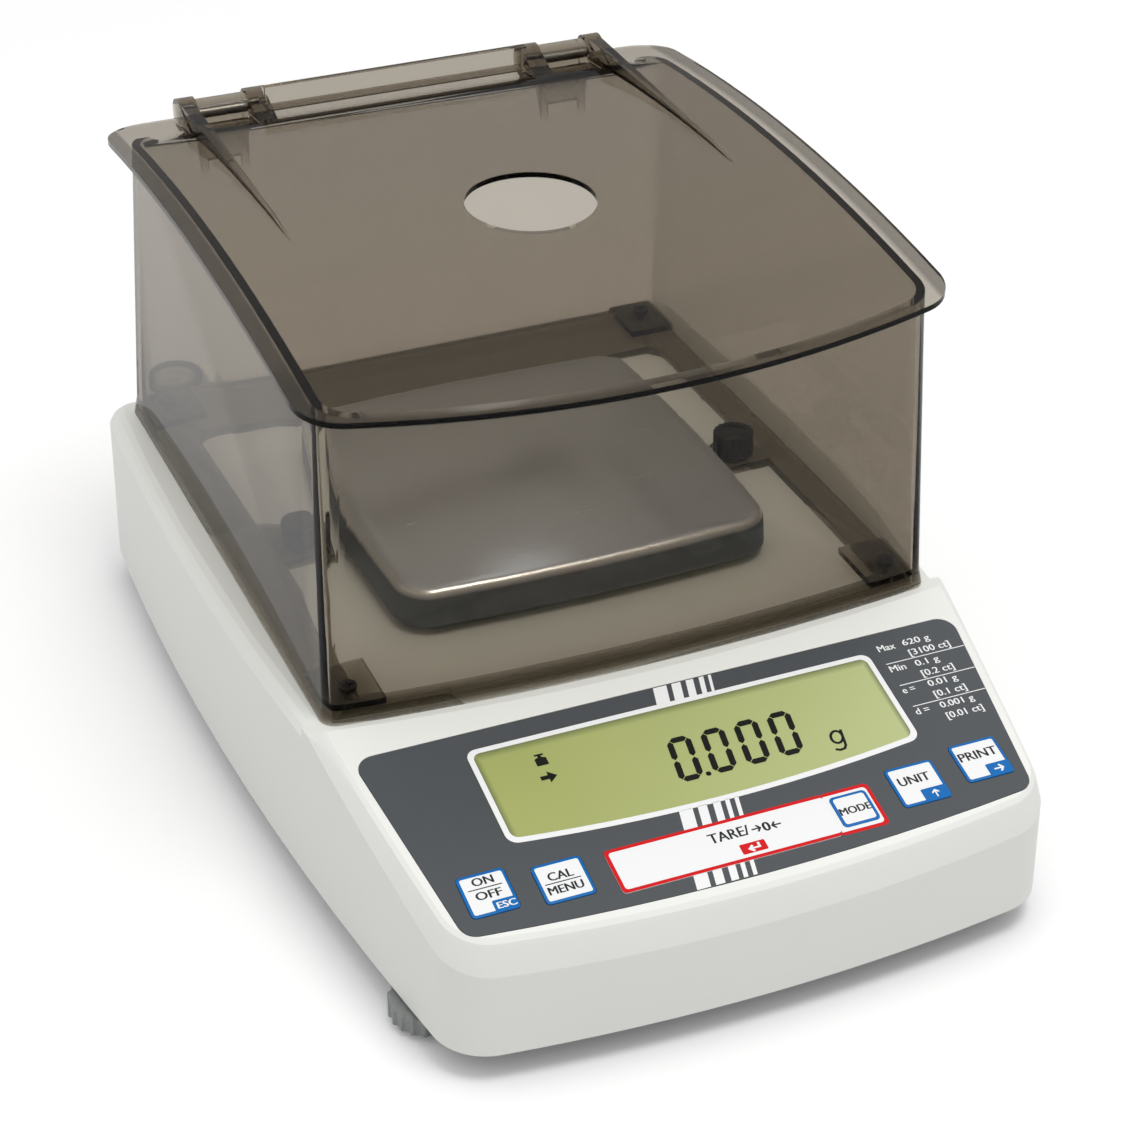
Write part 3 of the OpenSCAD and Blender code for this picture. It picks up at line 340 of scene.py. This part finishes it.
def words(name, text, x, y, wide, tall, mat, lift, body="base", heavy=0.22):
    """Printed lettering of a given width and height in mm, centred on a point of the panel."""
    bpy.ops.object.select_all(action="DESELECT")
    bpy.ops.object.text_add()
    obj = bpy.context.object
    obj.name = name
    obj.data.body = text
    obj.data.resolution_u = 3
    bpy.ops.object.convert(target="MESH")
    obj = bpy.context.object
    xs = [vert.co.x for vert in obj.data.vertices]
    ys = [vert.co.y for vert in obj.data.vertices]
    for vert in obj.data.vertices:
        px = (vert.co.x - (min(xs) + max(xs)) / 2) * wide / (max(xs) - min(xs))
        py = (vert.co.y - (min(ys) + max(ys)) / 2) * tall / (max(ys) - min(ys))
        vert.co = (px, py, 0)
    # the strokes gain weight from copies set a little aside, each a hair above the last
    strikes = obj.modifiers.new("strikes", "ARRAY")
    strikes.count = 3
    strikes.use_relative_offset = False
    strikes.use_constant_offset = True
    strikes.constant_offset_displace = (heavy / 2, 0, 0.004)
    bpy.ops.object.modifier_apply(modifier="strikes")
    for vert in obj.data.vertices:
        px, py, pz = vert.co
        vert.co = on_panel(x + px - heavy / 2, y + py, lift + pz)
    obj.data.materials.clear()
    obj.data.materials.append(mat)
    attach(obj, body)
    return obj


def stroke(name, points, width, mat, lift):
    """Printed line of even width along a run of points in mm."""
    ribbon = []
    for index, (px, py) in enumerate(points):
        ax, ay = points[max(index - 1, 0)]
        bx, by = points[min(index + 1, len(points) - 1)]
        size = math.hypot(bx - ax, by - ay)
        nx, ny = -(by - ay) / size * width / 2, (bx - ax) / size * width / 2
        ribbon.append((px, py, nx, ny))
    pts = [(px + nx, py + ny) for px, py, nx, ny in ribbon]
    pts += [(px - nx, py - ny) for px, py, nx, ny in reversed(ribbon)]
    obj = patch(name, pts, mat, lift)
    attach(obj, "base")
    return obj


def arrow(name, x, y, size, turn, mat, lift, body):
    """Printed arrow centred on a point, pointing along +X before its turn in degrees."""
    h, w = size / 2, size * 0.08
    pts = [(-h, -w), (h * 0.35, -w), (-h * 0.05, -h * 0.72), (h * 0.32, -h * 0.82), (h, 0),
           (h * 0.32, h * 0.82), (-h * 0.05, h * 0.72), (h * 0.35, w), (-h, w)]
    c, s = math.cos(math.radians(turn)), math.sin(math.radians(turn))
    obj = patch(name, [(x + a * c - b * s, y + a * s + b * c) for a, b in pts], mat, lift)
    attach(obj, body)
    return obj


# white line around the display window, bowed at its front edge
def bowed(x0, y0, x1, y1, dip, steps=16):
    """Corners of a patch whose front edge bows down by dip in the middle."""
    pts = []
    for i in range(steps + 1):
        t = i / steps
        pts.append((x0 + (x1 - x0) * t, y0 - dip * 4 * t * (1 - t)))
    return pts + [(x1, y1), (x0, y1)]


display_line = patch("display_window_line", bowed(-61.6, 36.5, 61.6, 70.0, dip=3.8), white_ink,
                     film_lift, radius=3.0)
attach(display_line, "base")


def stripes(name, bars, low, high, level, lean, shift=0.0):
    """White leaning bars printed from low to high, each given by its two ends in X at a level."""
    foot = shift + (low - level) * lean
    head = shift + (high - level) * lean
    for index, (a, b) in enumerate(bars):
        corners = [(a + foot, low), (b + foot, low), (b + head, high), (a + head, high)]
        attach(patch("%s_%d" % (name, index), corners, white_ink, film_lift), "base")


# the bars get narrower to the right
upper_bars = ((-2.6, 1.5), (3.0, 5.8), (7.4, 9.7), (11.4, 12.9), (14.3, 15.2))
lower_bars = ((-14.0, -10.0), (-8.5, -5.8), (-4.0, -1.8), (-0.4, 0.9), (2.4, 3.6))
stripes("stripe_above_display", upper_bars, low=69.9, high=76.0, level=77.2, lean=0.235)
stripes("stripe_below_display", lower_bars, low=26.2, high=33.0, level=32.6, lean=0.2)
stripes("stripe_below_bar", lower_bars, low=6.95, high=11.8, level=11.1, lean=0.2, shift=-5.3)

# ruled table of the weighing range beside the display, its rules shorter toward the front
half_rule = 0.14
for index, y in enumerate((64.4, 55.9, 47.65)):
    right_end = 90.2 - (64.4 - y) * 0.122
    rule = patch("table_rule_%d" % index, rect(64.9, y - half_rule, right_end, y + half_rule),
                 white_ink, film_lift)
    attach(rule, "base")
# each entry with its centre, width and height in mm
rows = (("Max", 67.9, 70.4, 5.4, 2.3), ("620 g", 77.5, 70.2, 8.6, 2.9),
        ("[3100 ct]", 79.9, 66.2, 13.0, 3.0),
        ("Min", 67.5, 62.3, 4.9, 2.3), ("0.1 g", 76.9, 61.9, 7.4, 2.9), ("[0.2 ct]", 78.3, 57.9, 10.2, 3.0),
        ("e =", 66.7, 53.6, 3.9, 1.7), ("0.01 g", 77.7, 53.8, 9.2, 2.9), ("[0.1 ct]", 78.0, 49.7, 10.1, 3.0),
        ("d =", 66.8, 45.6, 4.2, 2.3), ("0.001 g", 77.9, 45.4, 10.6, 2.9),
        ("[0.01 ct]", 78.3, 41.3, 11.5, 3.0))
for index, (text, x, y, wide, tall) in enumerate(rows):
    words("table_entry_%d" % index, text, x, y, wide, tall, white_ink, film_lift, heavy=0.12)

# Display: a green-grey reflective liquid crystal panel behind the clear window of the film,
# its shown segments a hair above the cell and nearly black.
lcd_green, out = fresh("reflective liquid crystal cell")
place = wire(lcd_green, "ShaderNodeTexCoord")
cells = wire(lcd_green, "ShaderNodeTexNoise", {"Scale": 1 / 0.02, "Detail": 2.0},
             Vector=place.outputs["Object"])
shade = wire(lcd_green, "ShaderNodeMixRGB", {"Color1": linear("#A7AF66"), "Color2": linear("#AEB66C")},
             Fac=cells.outputs["Fac"])
# it turns paler toward the right
spot = wire(lcd_green, "ShaderNodeSeparateXYZ", Vector=place.outputs["Object"])
across = wire(lcd_green, "ShaderNodeMapRange", {"From Min": -0.055, "From Max": 0.06},
              Value=spot.outputs["X"])
pale_side = wire(lcd_green, "ShaderNodeMixRGB", {"Color2": linear("#BEC78B")},
                 Fac=across.outputs["Result"], Color1=shade.outputs["Color"])
# the cell lies deeper than the film, so its rear and side edges are in a soft shadow
aside = wire(lcd_green, "ShaderNodeMath", {"operation": "ABSOLUTE"}, Value=spot.outputs["X"])
rear = wire(lcd_green, "ShaderNodeMapRange", {"From Min": -0.0912, "From Max": -0.0884},
            Value=spot.outputs["Y"])
flank = wire(lcd_green, "ShaderNodeMapRange", {"From Min": 0.0582, "From Max": 0.0602},
             Value=aside.outputs[0])
deep = wire(lcd_green, "ShaderNodeMath", {"operation": "MAXIMUM"})
lcd_green.node_tree.links.new(rear.outputs["Result"], deep.inputs[0])
lcd_green.node_tree.links.new(flank.outputs["Result"], deep.inputs[1])
edge = wire(lcd_green, "ShaderNodeMixRGB", {"Color2": linear("#70784A")}, Fac=deep.outputs[0],
            Color1=pale_side.outputs["Color"])
shader = wire(lcd_green, "ShaderNodeBsdfPrincipled", {"Roughness": 0.35}, Base_Color=edge.outputs["Color"])
close_up(lcd_green, out, shader)
finish_solid("lcd_display", lcd_green)
display_face = patch("display_face", bowed(-60.0, 38.1, 60.0, 68.4, dip=3.7), lcd_green, lift=0.06,
                     radius=2.2)
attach(display_face, "base")
dressed("display_window", "display_window_pane", lcd_green)

segment_ink = ink("shown display segment", "#0E110B")
segment_lift = 0.09
digit_w, digit_h, bar = 5.4, 13.7, 1.85
digit_foot = 42.75
digit_lean = 0.135
# the six bars of a nought, from end to end in widths and heights of the digit
zero_bars = {"top": (0, 1, 1, 1), "low": (0, 0, 1, 0), "left_up": (0, 0.5, 0, 1),
             "left_low": (0, 0, 0, 0.5), "right_up": (1, 0.5, 1, 1), "right_low": (1, 0, 1, 0.5)}


def segment(name, x, y, ends):
    """One slanted bar of a display digit with pointed ends."""
    ax, ay = ends[0] * digit_w, ends[1] * digit_h
    bx, by = ends[2] * digit_w, ends[3] * digit_h
    ux, uy = (bx - ax), (by - ay)
    size = math.hypot(ux, uy)
    ux, uy = ux / size, uy / size
    nx, ny = -uy * bar / 2, ux * bar / 2
    skip = 0.14  # half the gap between two bars
    full = skip + bar / 2  # where the point has grown to the bar's width
    pts = [(ax + ux * skip, ay + uy * skip), (ax + ux * full - nx, ay + uy * full - ny),
           (bx - ux * full - nx, by - uy * full - ny), (bx - ux * skip, by - uy * skip),
           (bx - ux * full + nx, by - uy * full + ny), (ax + ux * full + nx, ay + uy * full + ny)]
    return patch(name, [(x + px + py * digit_lean, y + py) for px, py in pts], segment_ink, segment_lift)


digits = []
for index, left in enumerate((-8.4, 1.75, 11.9, 22.05)):
    for key, ends in zero_bars.items():
        digits.append(segment("digit_%d_%s" % (index, key), left, digit_foot, ends))
digits.append(patch("decimal_point", rect(-1.5, 41.9, 0.0, 43.4), segment_ink, segment_lift, radius=0.6))
bpy.ops.object.select_all(action="DESELECT")
for obj in digits:
    obj.select_set(True)
bpy.context.view_layer.objects.active = digits[0]
bpy.ops.object.join()
digits[0].name = "display_reading"
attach(digits[0], "base")
# the unit is a letter of a slanted oval bowl and a hooked stem, which crosses just above it
bowl_x, bowl_y = 39.0, 43.9
half_w, half_h, slant = 1.75, 2.15, 0.3
unit_line = 0.8
bowl = []
for degrees in range(0, 361, 24):
    c, s = math.cos(math.radians(degrees)), math.sin(math.radians(degrees))
    bowl.append((bowl_x + half_w * c + slant * s, bowl_y + half_h * s))
stem = [(41.15, 46.1), (40.6, 42.9), (40.15, 40.5), (39.4, 39.5), (38.0, 39.3), (36.7, 39.9)]
stroke("display_unit_bowl", bowl, unit_line, segment_ink, segment_lift)
stroke("display_unit_stem", stem, unit_line, segment_ink, segment_lift + 0.002)
weight_icon = patch("display_weight_icon",
                    [(-44.4, 59.1), (-41.0, 59.1), (-41.0, 61.6), (-42.2, 62.1), (-42.2, 62.6),
                     (-41.4, 62.6), (-41.4, 63.2), (-44.0, 63.2), (-44.0, 62.6), (-43.2, 62.6),
                     (-43.2, 62.1), (-44.4, 61.6)], segment_ink, segment_lift)
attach(weight_icon, "base")
arrow_icon = patch("display_arrow_icon",
                   [(-45.2, 54.1), (-42.9, 54.1), (-42.9, 52.8), (-40.4, 54.8), (-42.9, 56.8),
                    (-42.9, 55.5), (-45.2, 55.5)], segment_ink, segment_lift)
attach(arrow_icon, "base")

# Keys: white printed islands of the film, embossed a quarter of a millimetre, each with a
# coloured rim and its function in dark lettering. They dip over the domes of the switch sheet.
keys = {"power_key": (-79.6, 16.05, -66.0, 29.85), "menu_key": (-59.5, 14.35, -45.3, 27.45),
        "unit_key": (45.6, 14.8, 60.4, 28.7), "print_key": (66.8, 17.4, 81.4, 31.0)}
key_rim = 0.9
key_body = {"power_key": "key_power", "menu_key": "key_menu", "tare_key": "key_tare",
            "mode_key": "key_mode", "unit_key": "key_unit", "print_key": "key_print"}
for node, (x0, y0, x1, y1) in keys.items():
    dressed(node, "embossed_" + node, blue_ink, bevel=0.0001)
    top = patch(node + "_white_face", rect(x0 + key_rim, y0 + key_rim, x1 - key_rim, y1 - key_rim),
                white_ink, face_lift, radius=0.6)
    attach(top, key_body[node])
tags = {"power_key": (-72.9, 16.2, -66.2, 20.2), "unit_key": (52.4, 15.0, 60.2, 19.4),
        "print_key": (74.0, 17.6, 81.2, 22.0)}
for node, (x0, y0, x1, y1) in tags.items():
    corner_tag = patch(node + "_corner_tag", rect(x0, y0, x1, y1), blue_ink, mark_lift, radius=0.5)
    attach(corner_tag, key_body[node])
words("power_key_on", "ON", -72.75, 27.15, 5.8, 2.6, black_ink, mark_lift, "key_power")
words("power_key_off", "OFF", -72.7, 22.55, 7.1, 2.6, black_ink, mark_lift, "key_power")
words("power_key_esc", "ESC", -69.3, 18.3, 5.2, 2.1, white_ink, tag_mark_lift, "key_power")
words("menu_key_cal", "CAL", -52.6, 22.75, 6.9, 2.7, black_ink, mark_lift, "key_menu")
words("menu_key_menu", "MENU", -52.7, 18.35, 9.7, 2.6, black_ink, mark_lift, "key_menu")
half_key_rule = 0.16
for name, body, x0, x1, y in (("power_key_rule", "key_power", -77.6, -68.1, 24.85),
                              ("menu_key_rule", "key_menu", -57.7, -47.5, 20.6)):
    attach(patch(name, rect(x0, y - half_key_rule, x1, y + half_key_rule), black_ink, mark_lift), body)
words("unit_key_word", "UNIT", 52.6, 23.4, 9.4, 2.9, black_ink, mark_lift, "key_unit")
arrow("unit_key_arrow", 56.3, 17.2, 2.7, 90, white_ink, tag_mark_lift, "key_unit")
words("print_key_word", "PRINT", 74.0, 26.1, 11.6, 2.9, black_ink, mark_lift, "key_print")
arrow("print_key_arrow", 77.5, 19.8, 3.1, 0, white_ink, tag_mark_lift, "key_print")

# the long bar is white with a red rim that runs on around the mode key, printed on the film
dressed("tare_key", "embossed_tare_key", white_ink, bevel=0.0001)
dressed("mode_key", "embossed_mode_key", blue_ink, bevel=0.0001)
bar_mark_lift = 0.3
bar_rim = patch("bar_rim_on_film", rect(24.6, 11.5, 39.5, 26.5), red_ink, lift=0.02, radius=1.6)
bar_end = patch("bar_end_on_film", rect(24.4, 12.6, 38.4, 25.4), white_ink, lift=0.035, radius=1.2)
tare_rim = patch("tare_key_red_rim", rect(-39.1, 11.65, 25.3, 26.35), red_ink, lift=0.26, radius=1.3)
tare_face = patch("tare_key_white_face", rect(-38.0, 12.7, 25.35, 25.3), white_ink, lift=0.28, radius=0.9)
for piece, body in ((bar_rim, "base"), (bar_end, "base"), (tare_rim, "key_tare"), (tare_face, "key_tare")):
    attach(piece, body)
mode_face = patch("mode_key_white_face", rect(27.55, 14.6, 36.85, 23.6), white_ink, face_lift, radius=0.8)
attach(mode_face, "key_mode")
words("mode_key_word", "MODE", 32.3, 18.9, 9.2, 2.4, black_ink, mark_lift, "key_mode")
words("tare_key_word", "TARE/", -4.5, 21.3, 11.6, 3.3, black_ink, bar_mark_lift, "key_tare")
arrow("tare_key_arrow_in", 3.5, 20.9, 2.9, 0, black_ink, bar_mark_lift, "key_tare")
words("tare_key_zero", "0", 6.4, 20.8, 2.0, 3.0, black_ink, bar_mark_lift, "key_tare", heavy=0.3)
arrow("tare_key_arrow_back", 9.2, 20.6, 2.9, 180, black_ink, bar_mark_lift, "key_tare")
enter_tag = patch("tare_key_enter_tag", rect(-3.5, 13.7, 3.9, 17.1), red_ink, bar_mark_lift, radius=0.4)
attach(enter_tag, "key_tare")
enter_arrow = patch("tare_key_enter_arrow",
                    [(-1.6, 15.1), (-0.2, 13.9), (0.3, 14.3), (-0.2, 14.85), (2.2, 14.85), (2.2, 16.6),
                     (1.5, 16.6), (1.5, 15.4), (-0.2, 15.4), (0.3, 15.9), (-0.2, 16.3)],
                    white_ink, lift=0.32)
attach(enter_arrow, "key_tare")

# Pan: pressed from fine-brushed stainless steel sheet with a rounded rim, resting on four rubber
# cushions of the pan support.
brushed, out = fresh("fine brushed stainless steel")
place = wire(brushed, "ShaderNodeTexCoord")
along = wire(brushed, "ShaderNodeMapping", {"Scale": (60.0, 1400.0, 60.0)},
             Vector=place.outputs["Object"])
strokes = wire(brushed, "ShaderNodeTexNoise", {"Scale": 1.0, "Detail": 4.0},
               Vector=along.outputs["Vector"])
rough = wire(brushed, "ShaderNodeMapRange", {"To Min": 0.2, "To Max": 0.3},
             Value=strokes.outputs["Fac"])
bump = wire(brushed, "ShaderNodeBump", {"Strength": 0.05, "Distance": 0.00005},
            Height=strokes.outputs["Fac"])
# painted shade: the top is a little darker toward the front edge
spot = wire(brushed, "ShaderNodeSeparateXYZ", Vector=place.outputs["Object"])
depth = wire(brushed, "ShaderNodeMapRange", {"From Min": -0.038, "From Max": 0.088},
             Value=spot.outputs["Y"])
top = wire(brushed, "ShaderNodeMixRGB", {"Color1": linear("#E8EFFB"), "Color2": linear("#FBFDFF")},
           Fac=depth.outputs["Result"])
# painted highlight: the colour of the rim is lifted to white
rim = wire(brushed, "ShaderNodeMapRange", {"From Min": 0.0761, "From Max": 0.0755},
           Value=spot.outputs["Z"])
painted_rim_highlight = wire(brushed, "ShaderNodeMixRGB", {"Color2": linear("#FFFFFF")}, Fac=rim.outputs["Result"],
             Color1=top.outputs["Color"])
# the turned-down skirt is left dull from the press, and its colour is darkened as a painted dark reflection
skirt_shade_mask = wire(brushed, "ShaderNodeMapRange", {"From Min": 0.0735, "From Max": 0.075},
            Value=spot.outputs["Z"])
steel = wire(brushed, "ShaderNodeMixRGB", {"Color1": linear("#7D838A")}, Fac=skirt_shade_mask.outputs["Result"],
             Color2=painted_rim_highlight.outputs["Color"])
dull = wire(brushed, "ShaderNodeMapRange",
            {"From Min": 0.0735, "From Max": 0.0752, "To Min": 0.35, "To Max": 0.0},
            Value=spot.outputs["Z"])
blur = wire(brushed, "ShaderNodeMath", {"operation": "ADD"})
brushed.node_tree.links.new(rough.outputs["Result"], blur.inputs[0])
brushed.node_tree.links.new(dull.outputs["Result"], blur.inputs[1])
shader = wire(brushed, "ShaderNodeBsdfPrincipled", {"Metallic": 1.0}, Base_Color=steel.outputs["Color"],
              Roughness=blur.outputs[0], Normal=bump.outputs["Normal"])
close_up(brushed, out, shader)
dressed("weighing_pan", "pressed_steel_pan", brushed, angle=40)
for corner in ("fl", "fr", "rl", "rr"):
    finish_solid("pan_cushion_" + corner, rubber)

# Draught shield: a box of smoke-brown acrylic, injection moulded and polished, open at the top
# and bottom, on a screwed foot frame that two knurled knobs clamp to the deck. The tint is in the
# depth of the plastic, so edges look darker.
def clear_smoke(name, tint, brim, density):
    """Polished clear acrylic whose tint grows with the depth of plastic that light crosses."""
    mat, end = fresh(name)
    # light that falls on other pieces passes straight through
    way_in = wire(mat, "ShaderNodeLightPath")
    passing = wire(mat, "ShaderNodeMath", {"operation": "MAXIMUM"})
    mat.node_tree.links.new(way_in.outputs["Is Shadow Ray"], passing.inputs[0])
    mat.node_tree.links.new(way_in.outputs["Is Diffuse Ray"], passing.inputs[1])
    spot = wire(mat, "ShaderNodeTexCoord")
    flow = wire(mat, "ShaderNodeTexNoise", {"Scale": 1 / 0.04, "Detail": 1.0},
                Vector=spot.outputs["Object"])
    sink = wire(mat, "ShaderNodeBump", {"Strength": 0.04, "Distance": 0.0003},
                Height=flow.outputs["Fac"])
    # the brim outside the walls is given a darker tint
    edge_at = wire(mat, "ShaderNodeSeparateXYZ", Vector=spot.outputs["Object"])
    aside = wire(mat, "ShaderNodeMath", {"operation": "ABSOLUTE"}, Value=edge_at.outputs["X"])
    outer = wire(mat, "ShaderNodeMapRange", {"From Min": 0.0908, "From Max": 0.0914},
                 Value=aside.outputs[0])
    body = wire(mat, "ShaderNodeMixRGB", {"Color1": linear(tint), "Color2": linear(brim)},
                Fac=outer.outputs["Result"])
    glass = wire(mat, "ShaderNodeBsdfPrincipled",
                 {"Roughness": 0.02, "IOR": 1.2, "Transmission Weight": 1.0},
                 Normal=sink.outputs["Normal"], Base_Color=body.outputs["Color"])
    clear = wire(mat, "ShaderNodeBsdfTransparent", {"Color": (0.98, 0.98, 0.98, 1.0)})
    mixed = wire(mat, "ShaderNodeMixShader", Fac=passing.outputs[0])
    mat.node_tree.links.new(glass.outputs[0], mixed.inputs[1])
    mat.node_tree.links.new(clear.outputs[0], mixed.inputs[2])
    smoke = wire(mat, "ShaderNodeVolumeAbsorption",
                 {"Color": (0.26, 0.19, 0.07, 1.0), "Density": density})
    close_up(mat, end, mixed)
    mat.node_tree.links.new(smoke.outputs[0], end.inputs["Volume"])
    return mat


smoked = clear_smoke("smoke brown clear acrylic of the walls", "#DBD7D1", "#DBD7D1", 180.0)
smoked_lid = clear_smoke("smoke brown clear acrylic of the lid", "#D3CEC7", "#9E9A94", 220.0)
for node, piece, plastic in (("shield_frame", "smoked_foot_frame", smoked),
                             ("shield_box", "smoked_shield_box", smoked),
                             ("shield_lid", "smoked_arched_lid", smoked_lid)):
    dressed(node, piece, plastic)
for corner in ("fl", "fr", "rl", "rr"):
    dressed("frame_screw_" + corner, "frame_corner_screw_" + corner, socket_black)
for side in ("left", "right"):
    dressed("thumb_screw_" + side, "knurled_clamp_knob_" + side, socket_black, bevel=0.0003)
    finish_solid("hinge_pin_" + side, zinc)

# Spirit level: a clear vial with tinted liquid in a black cup, pressed into the boss behind the
# deck, with a bubble under its ring mark.
vial, out = fresh("clear vial over tinted liquid")
place = wire(vial, "ShaderNodeTexCoord")
depth = wire(vial, "ShaderNodeTexNoise", {"Scale": 1 / 0.01}, Vector=place.outputs["Object"])
shade = wire(vial, "ShaderNodeMixRGB", {"Color1": linear("#B9BDA9"), "Color2": linear("#C6C9B8")},
             Fac=depth.outputs["Fac"])
shader = wire(vial, "ShaderNodeBsdfPrincipled", {"Roughness": 0.08, "Coat Weight": 0.6},
              Base_Color=shade.outputs["Color"])
close_up(vial, out, shader)
dressed("level_cup", "spirit_level_cup", socket_black)
dressed("level_vial", "spirit_level_vial", vial)

# Stage: a plain pale floor, white to the camera beyond the soft shadow, with even studio light
# from a bright room and a large soft lamp above the front.
bpy.ops.object.select_all(action="DESELECT")
bpy.ops.mesh.primitive_plane_add(size=6.0, location=(0, 0.6, -0.0002))
floor = bpy.context.object
floor.name = "studio_floor"
pale, out = fresh("pale studio floor")
place = wire(pale, "ShaderNodeTexCoord")
mild = wire(pale, "ShaderNodeTexNoise", {"Scale": 2.0}, Vector=place.outputs["Object"])
shade = wire(pale, "ShaderNodeMixRGB", {"Color1": (0.99, 0.99, 0.99, 1), "Color2": (1, 1, 1, 1)},
             Fac=mild.outputs["Fac"])
seen = wire(pale, "ShaderNodeBsdfDiffuse", Color=shade.outputs["Color"])
lit = wire(pale, "ShaderNodeEmission", {"Color": (1, 1, 1, 1), "Strength": 0.06})
white = wire(pale, "ShaderNodeAddShader")
pale.node_tree.links.new(seen.outputs[0], white.inputs[0])
pale.node_tree.links.new(lit.outputs[0], white.inputs[1])
matt = wire(pale, "ShaderNodeBsdfDiffuse", {"Color": (0.58, 0.58, 0.58, 1)})
path = wire(pale, "ShaderNodeLightPath")
direct = wire(pale, "ShaderNodeMath", {"operation": "MAXIMUM"})
pale.node_tree.links.new(path.outputs["Is Camera Ray"], direct.inputs[0])
pale.node_tree.links.new(path.outputs["Is Transmission Ray"], direct.inputs[1])
shown = wire(pale, "ShaderNodeMath", {"operation": "MAXIMUM"})
pale.node_tree.links.new(direct.outputs[0], shown.inputs[0])
pale.node_tree.links.new(path.outputs["Is Glossy Ray"], shown.inputs[1])
both = wire(pale, "ShaderNodeMixShader", Fac=shown.outputs[0])
pale.node_tree.links.new(matt.outputs[0], both.inputs[1])
pale.node_tree.links.new(white.outputs[0], both.inputs[2])
close_up(pale, out, both)
floor.data.materials.append(pale)

# a bright room: more light from above, and a little more from the left
world = bpy.data.worlds.new("bright room")
bpy.context.scene.world = world
world.use_nodes = True
sky = world.node_tree.nodes["Background"]
way = wire(world, "ShaderNodeTexCoord")
parts = wire(world, "ShaderNodeSeparateXYZ", Vector=way.outputs["Generated"])
rise = wire(world, "ShaderNodeMapRange", {"To Min": 0.28, "To Max": 0.94}, Value=parts.outputs["Z"])
leftward = wire(world, "ShaderNodeMapRange", {"From Min": -1.0, "To Min": 0.15, "To Max": 0.0},
                Value=parts.outputs["X"])
level_of = wire(world, "ShaderNodeMath", {"operation": "ADD"})
world.node_tree.links.new(rise.outputs["Result"], level_of.inputs[0])
world.node_tree.links.new(leftward.outputs["Result"], level_of.inputs[1])
world.node_tree.links.new(level_of.outputs[0], sky.inputs["Strength"])
sky.inputs["Color"].default_value = (1, 1, 1, 1)

bpy.ops.object.light_add(type="AREA", location=(0.15, -0.5, 1.55))
lamp_above = bpy.context.object
lamp_above.data.shape = "DISK"
lamp_above.data.size = 0.6
lamp_above.data.energy = 7.0
lamp_above.rotation_euler = (math.radians(18), math.radians(5.5), 0)

bpy.ops.object.camera_add(location=(-0.2815, -0.6828, 0.5178),
                          rotation=(math.radians(60.02), 0, math.radians(-22.938)))
camera = bpy.context.object
camera.data.lens = 90.15
camera.data.sensor_width = 36.0
camera.data.shift_y = -0.1
camera.data.clip_start = 0.05
bpy.context.scene.camera = camera
bpy.context.scene.view_settings.view_transform = "Standard"
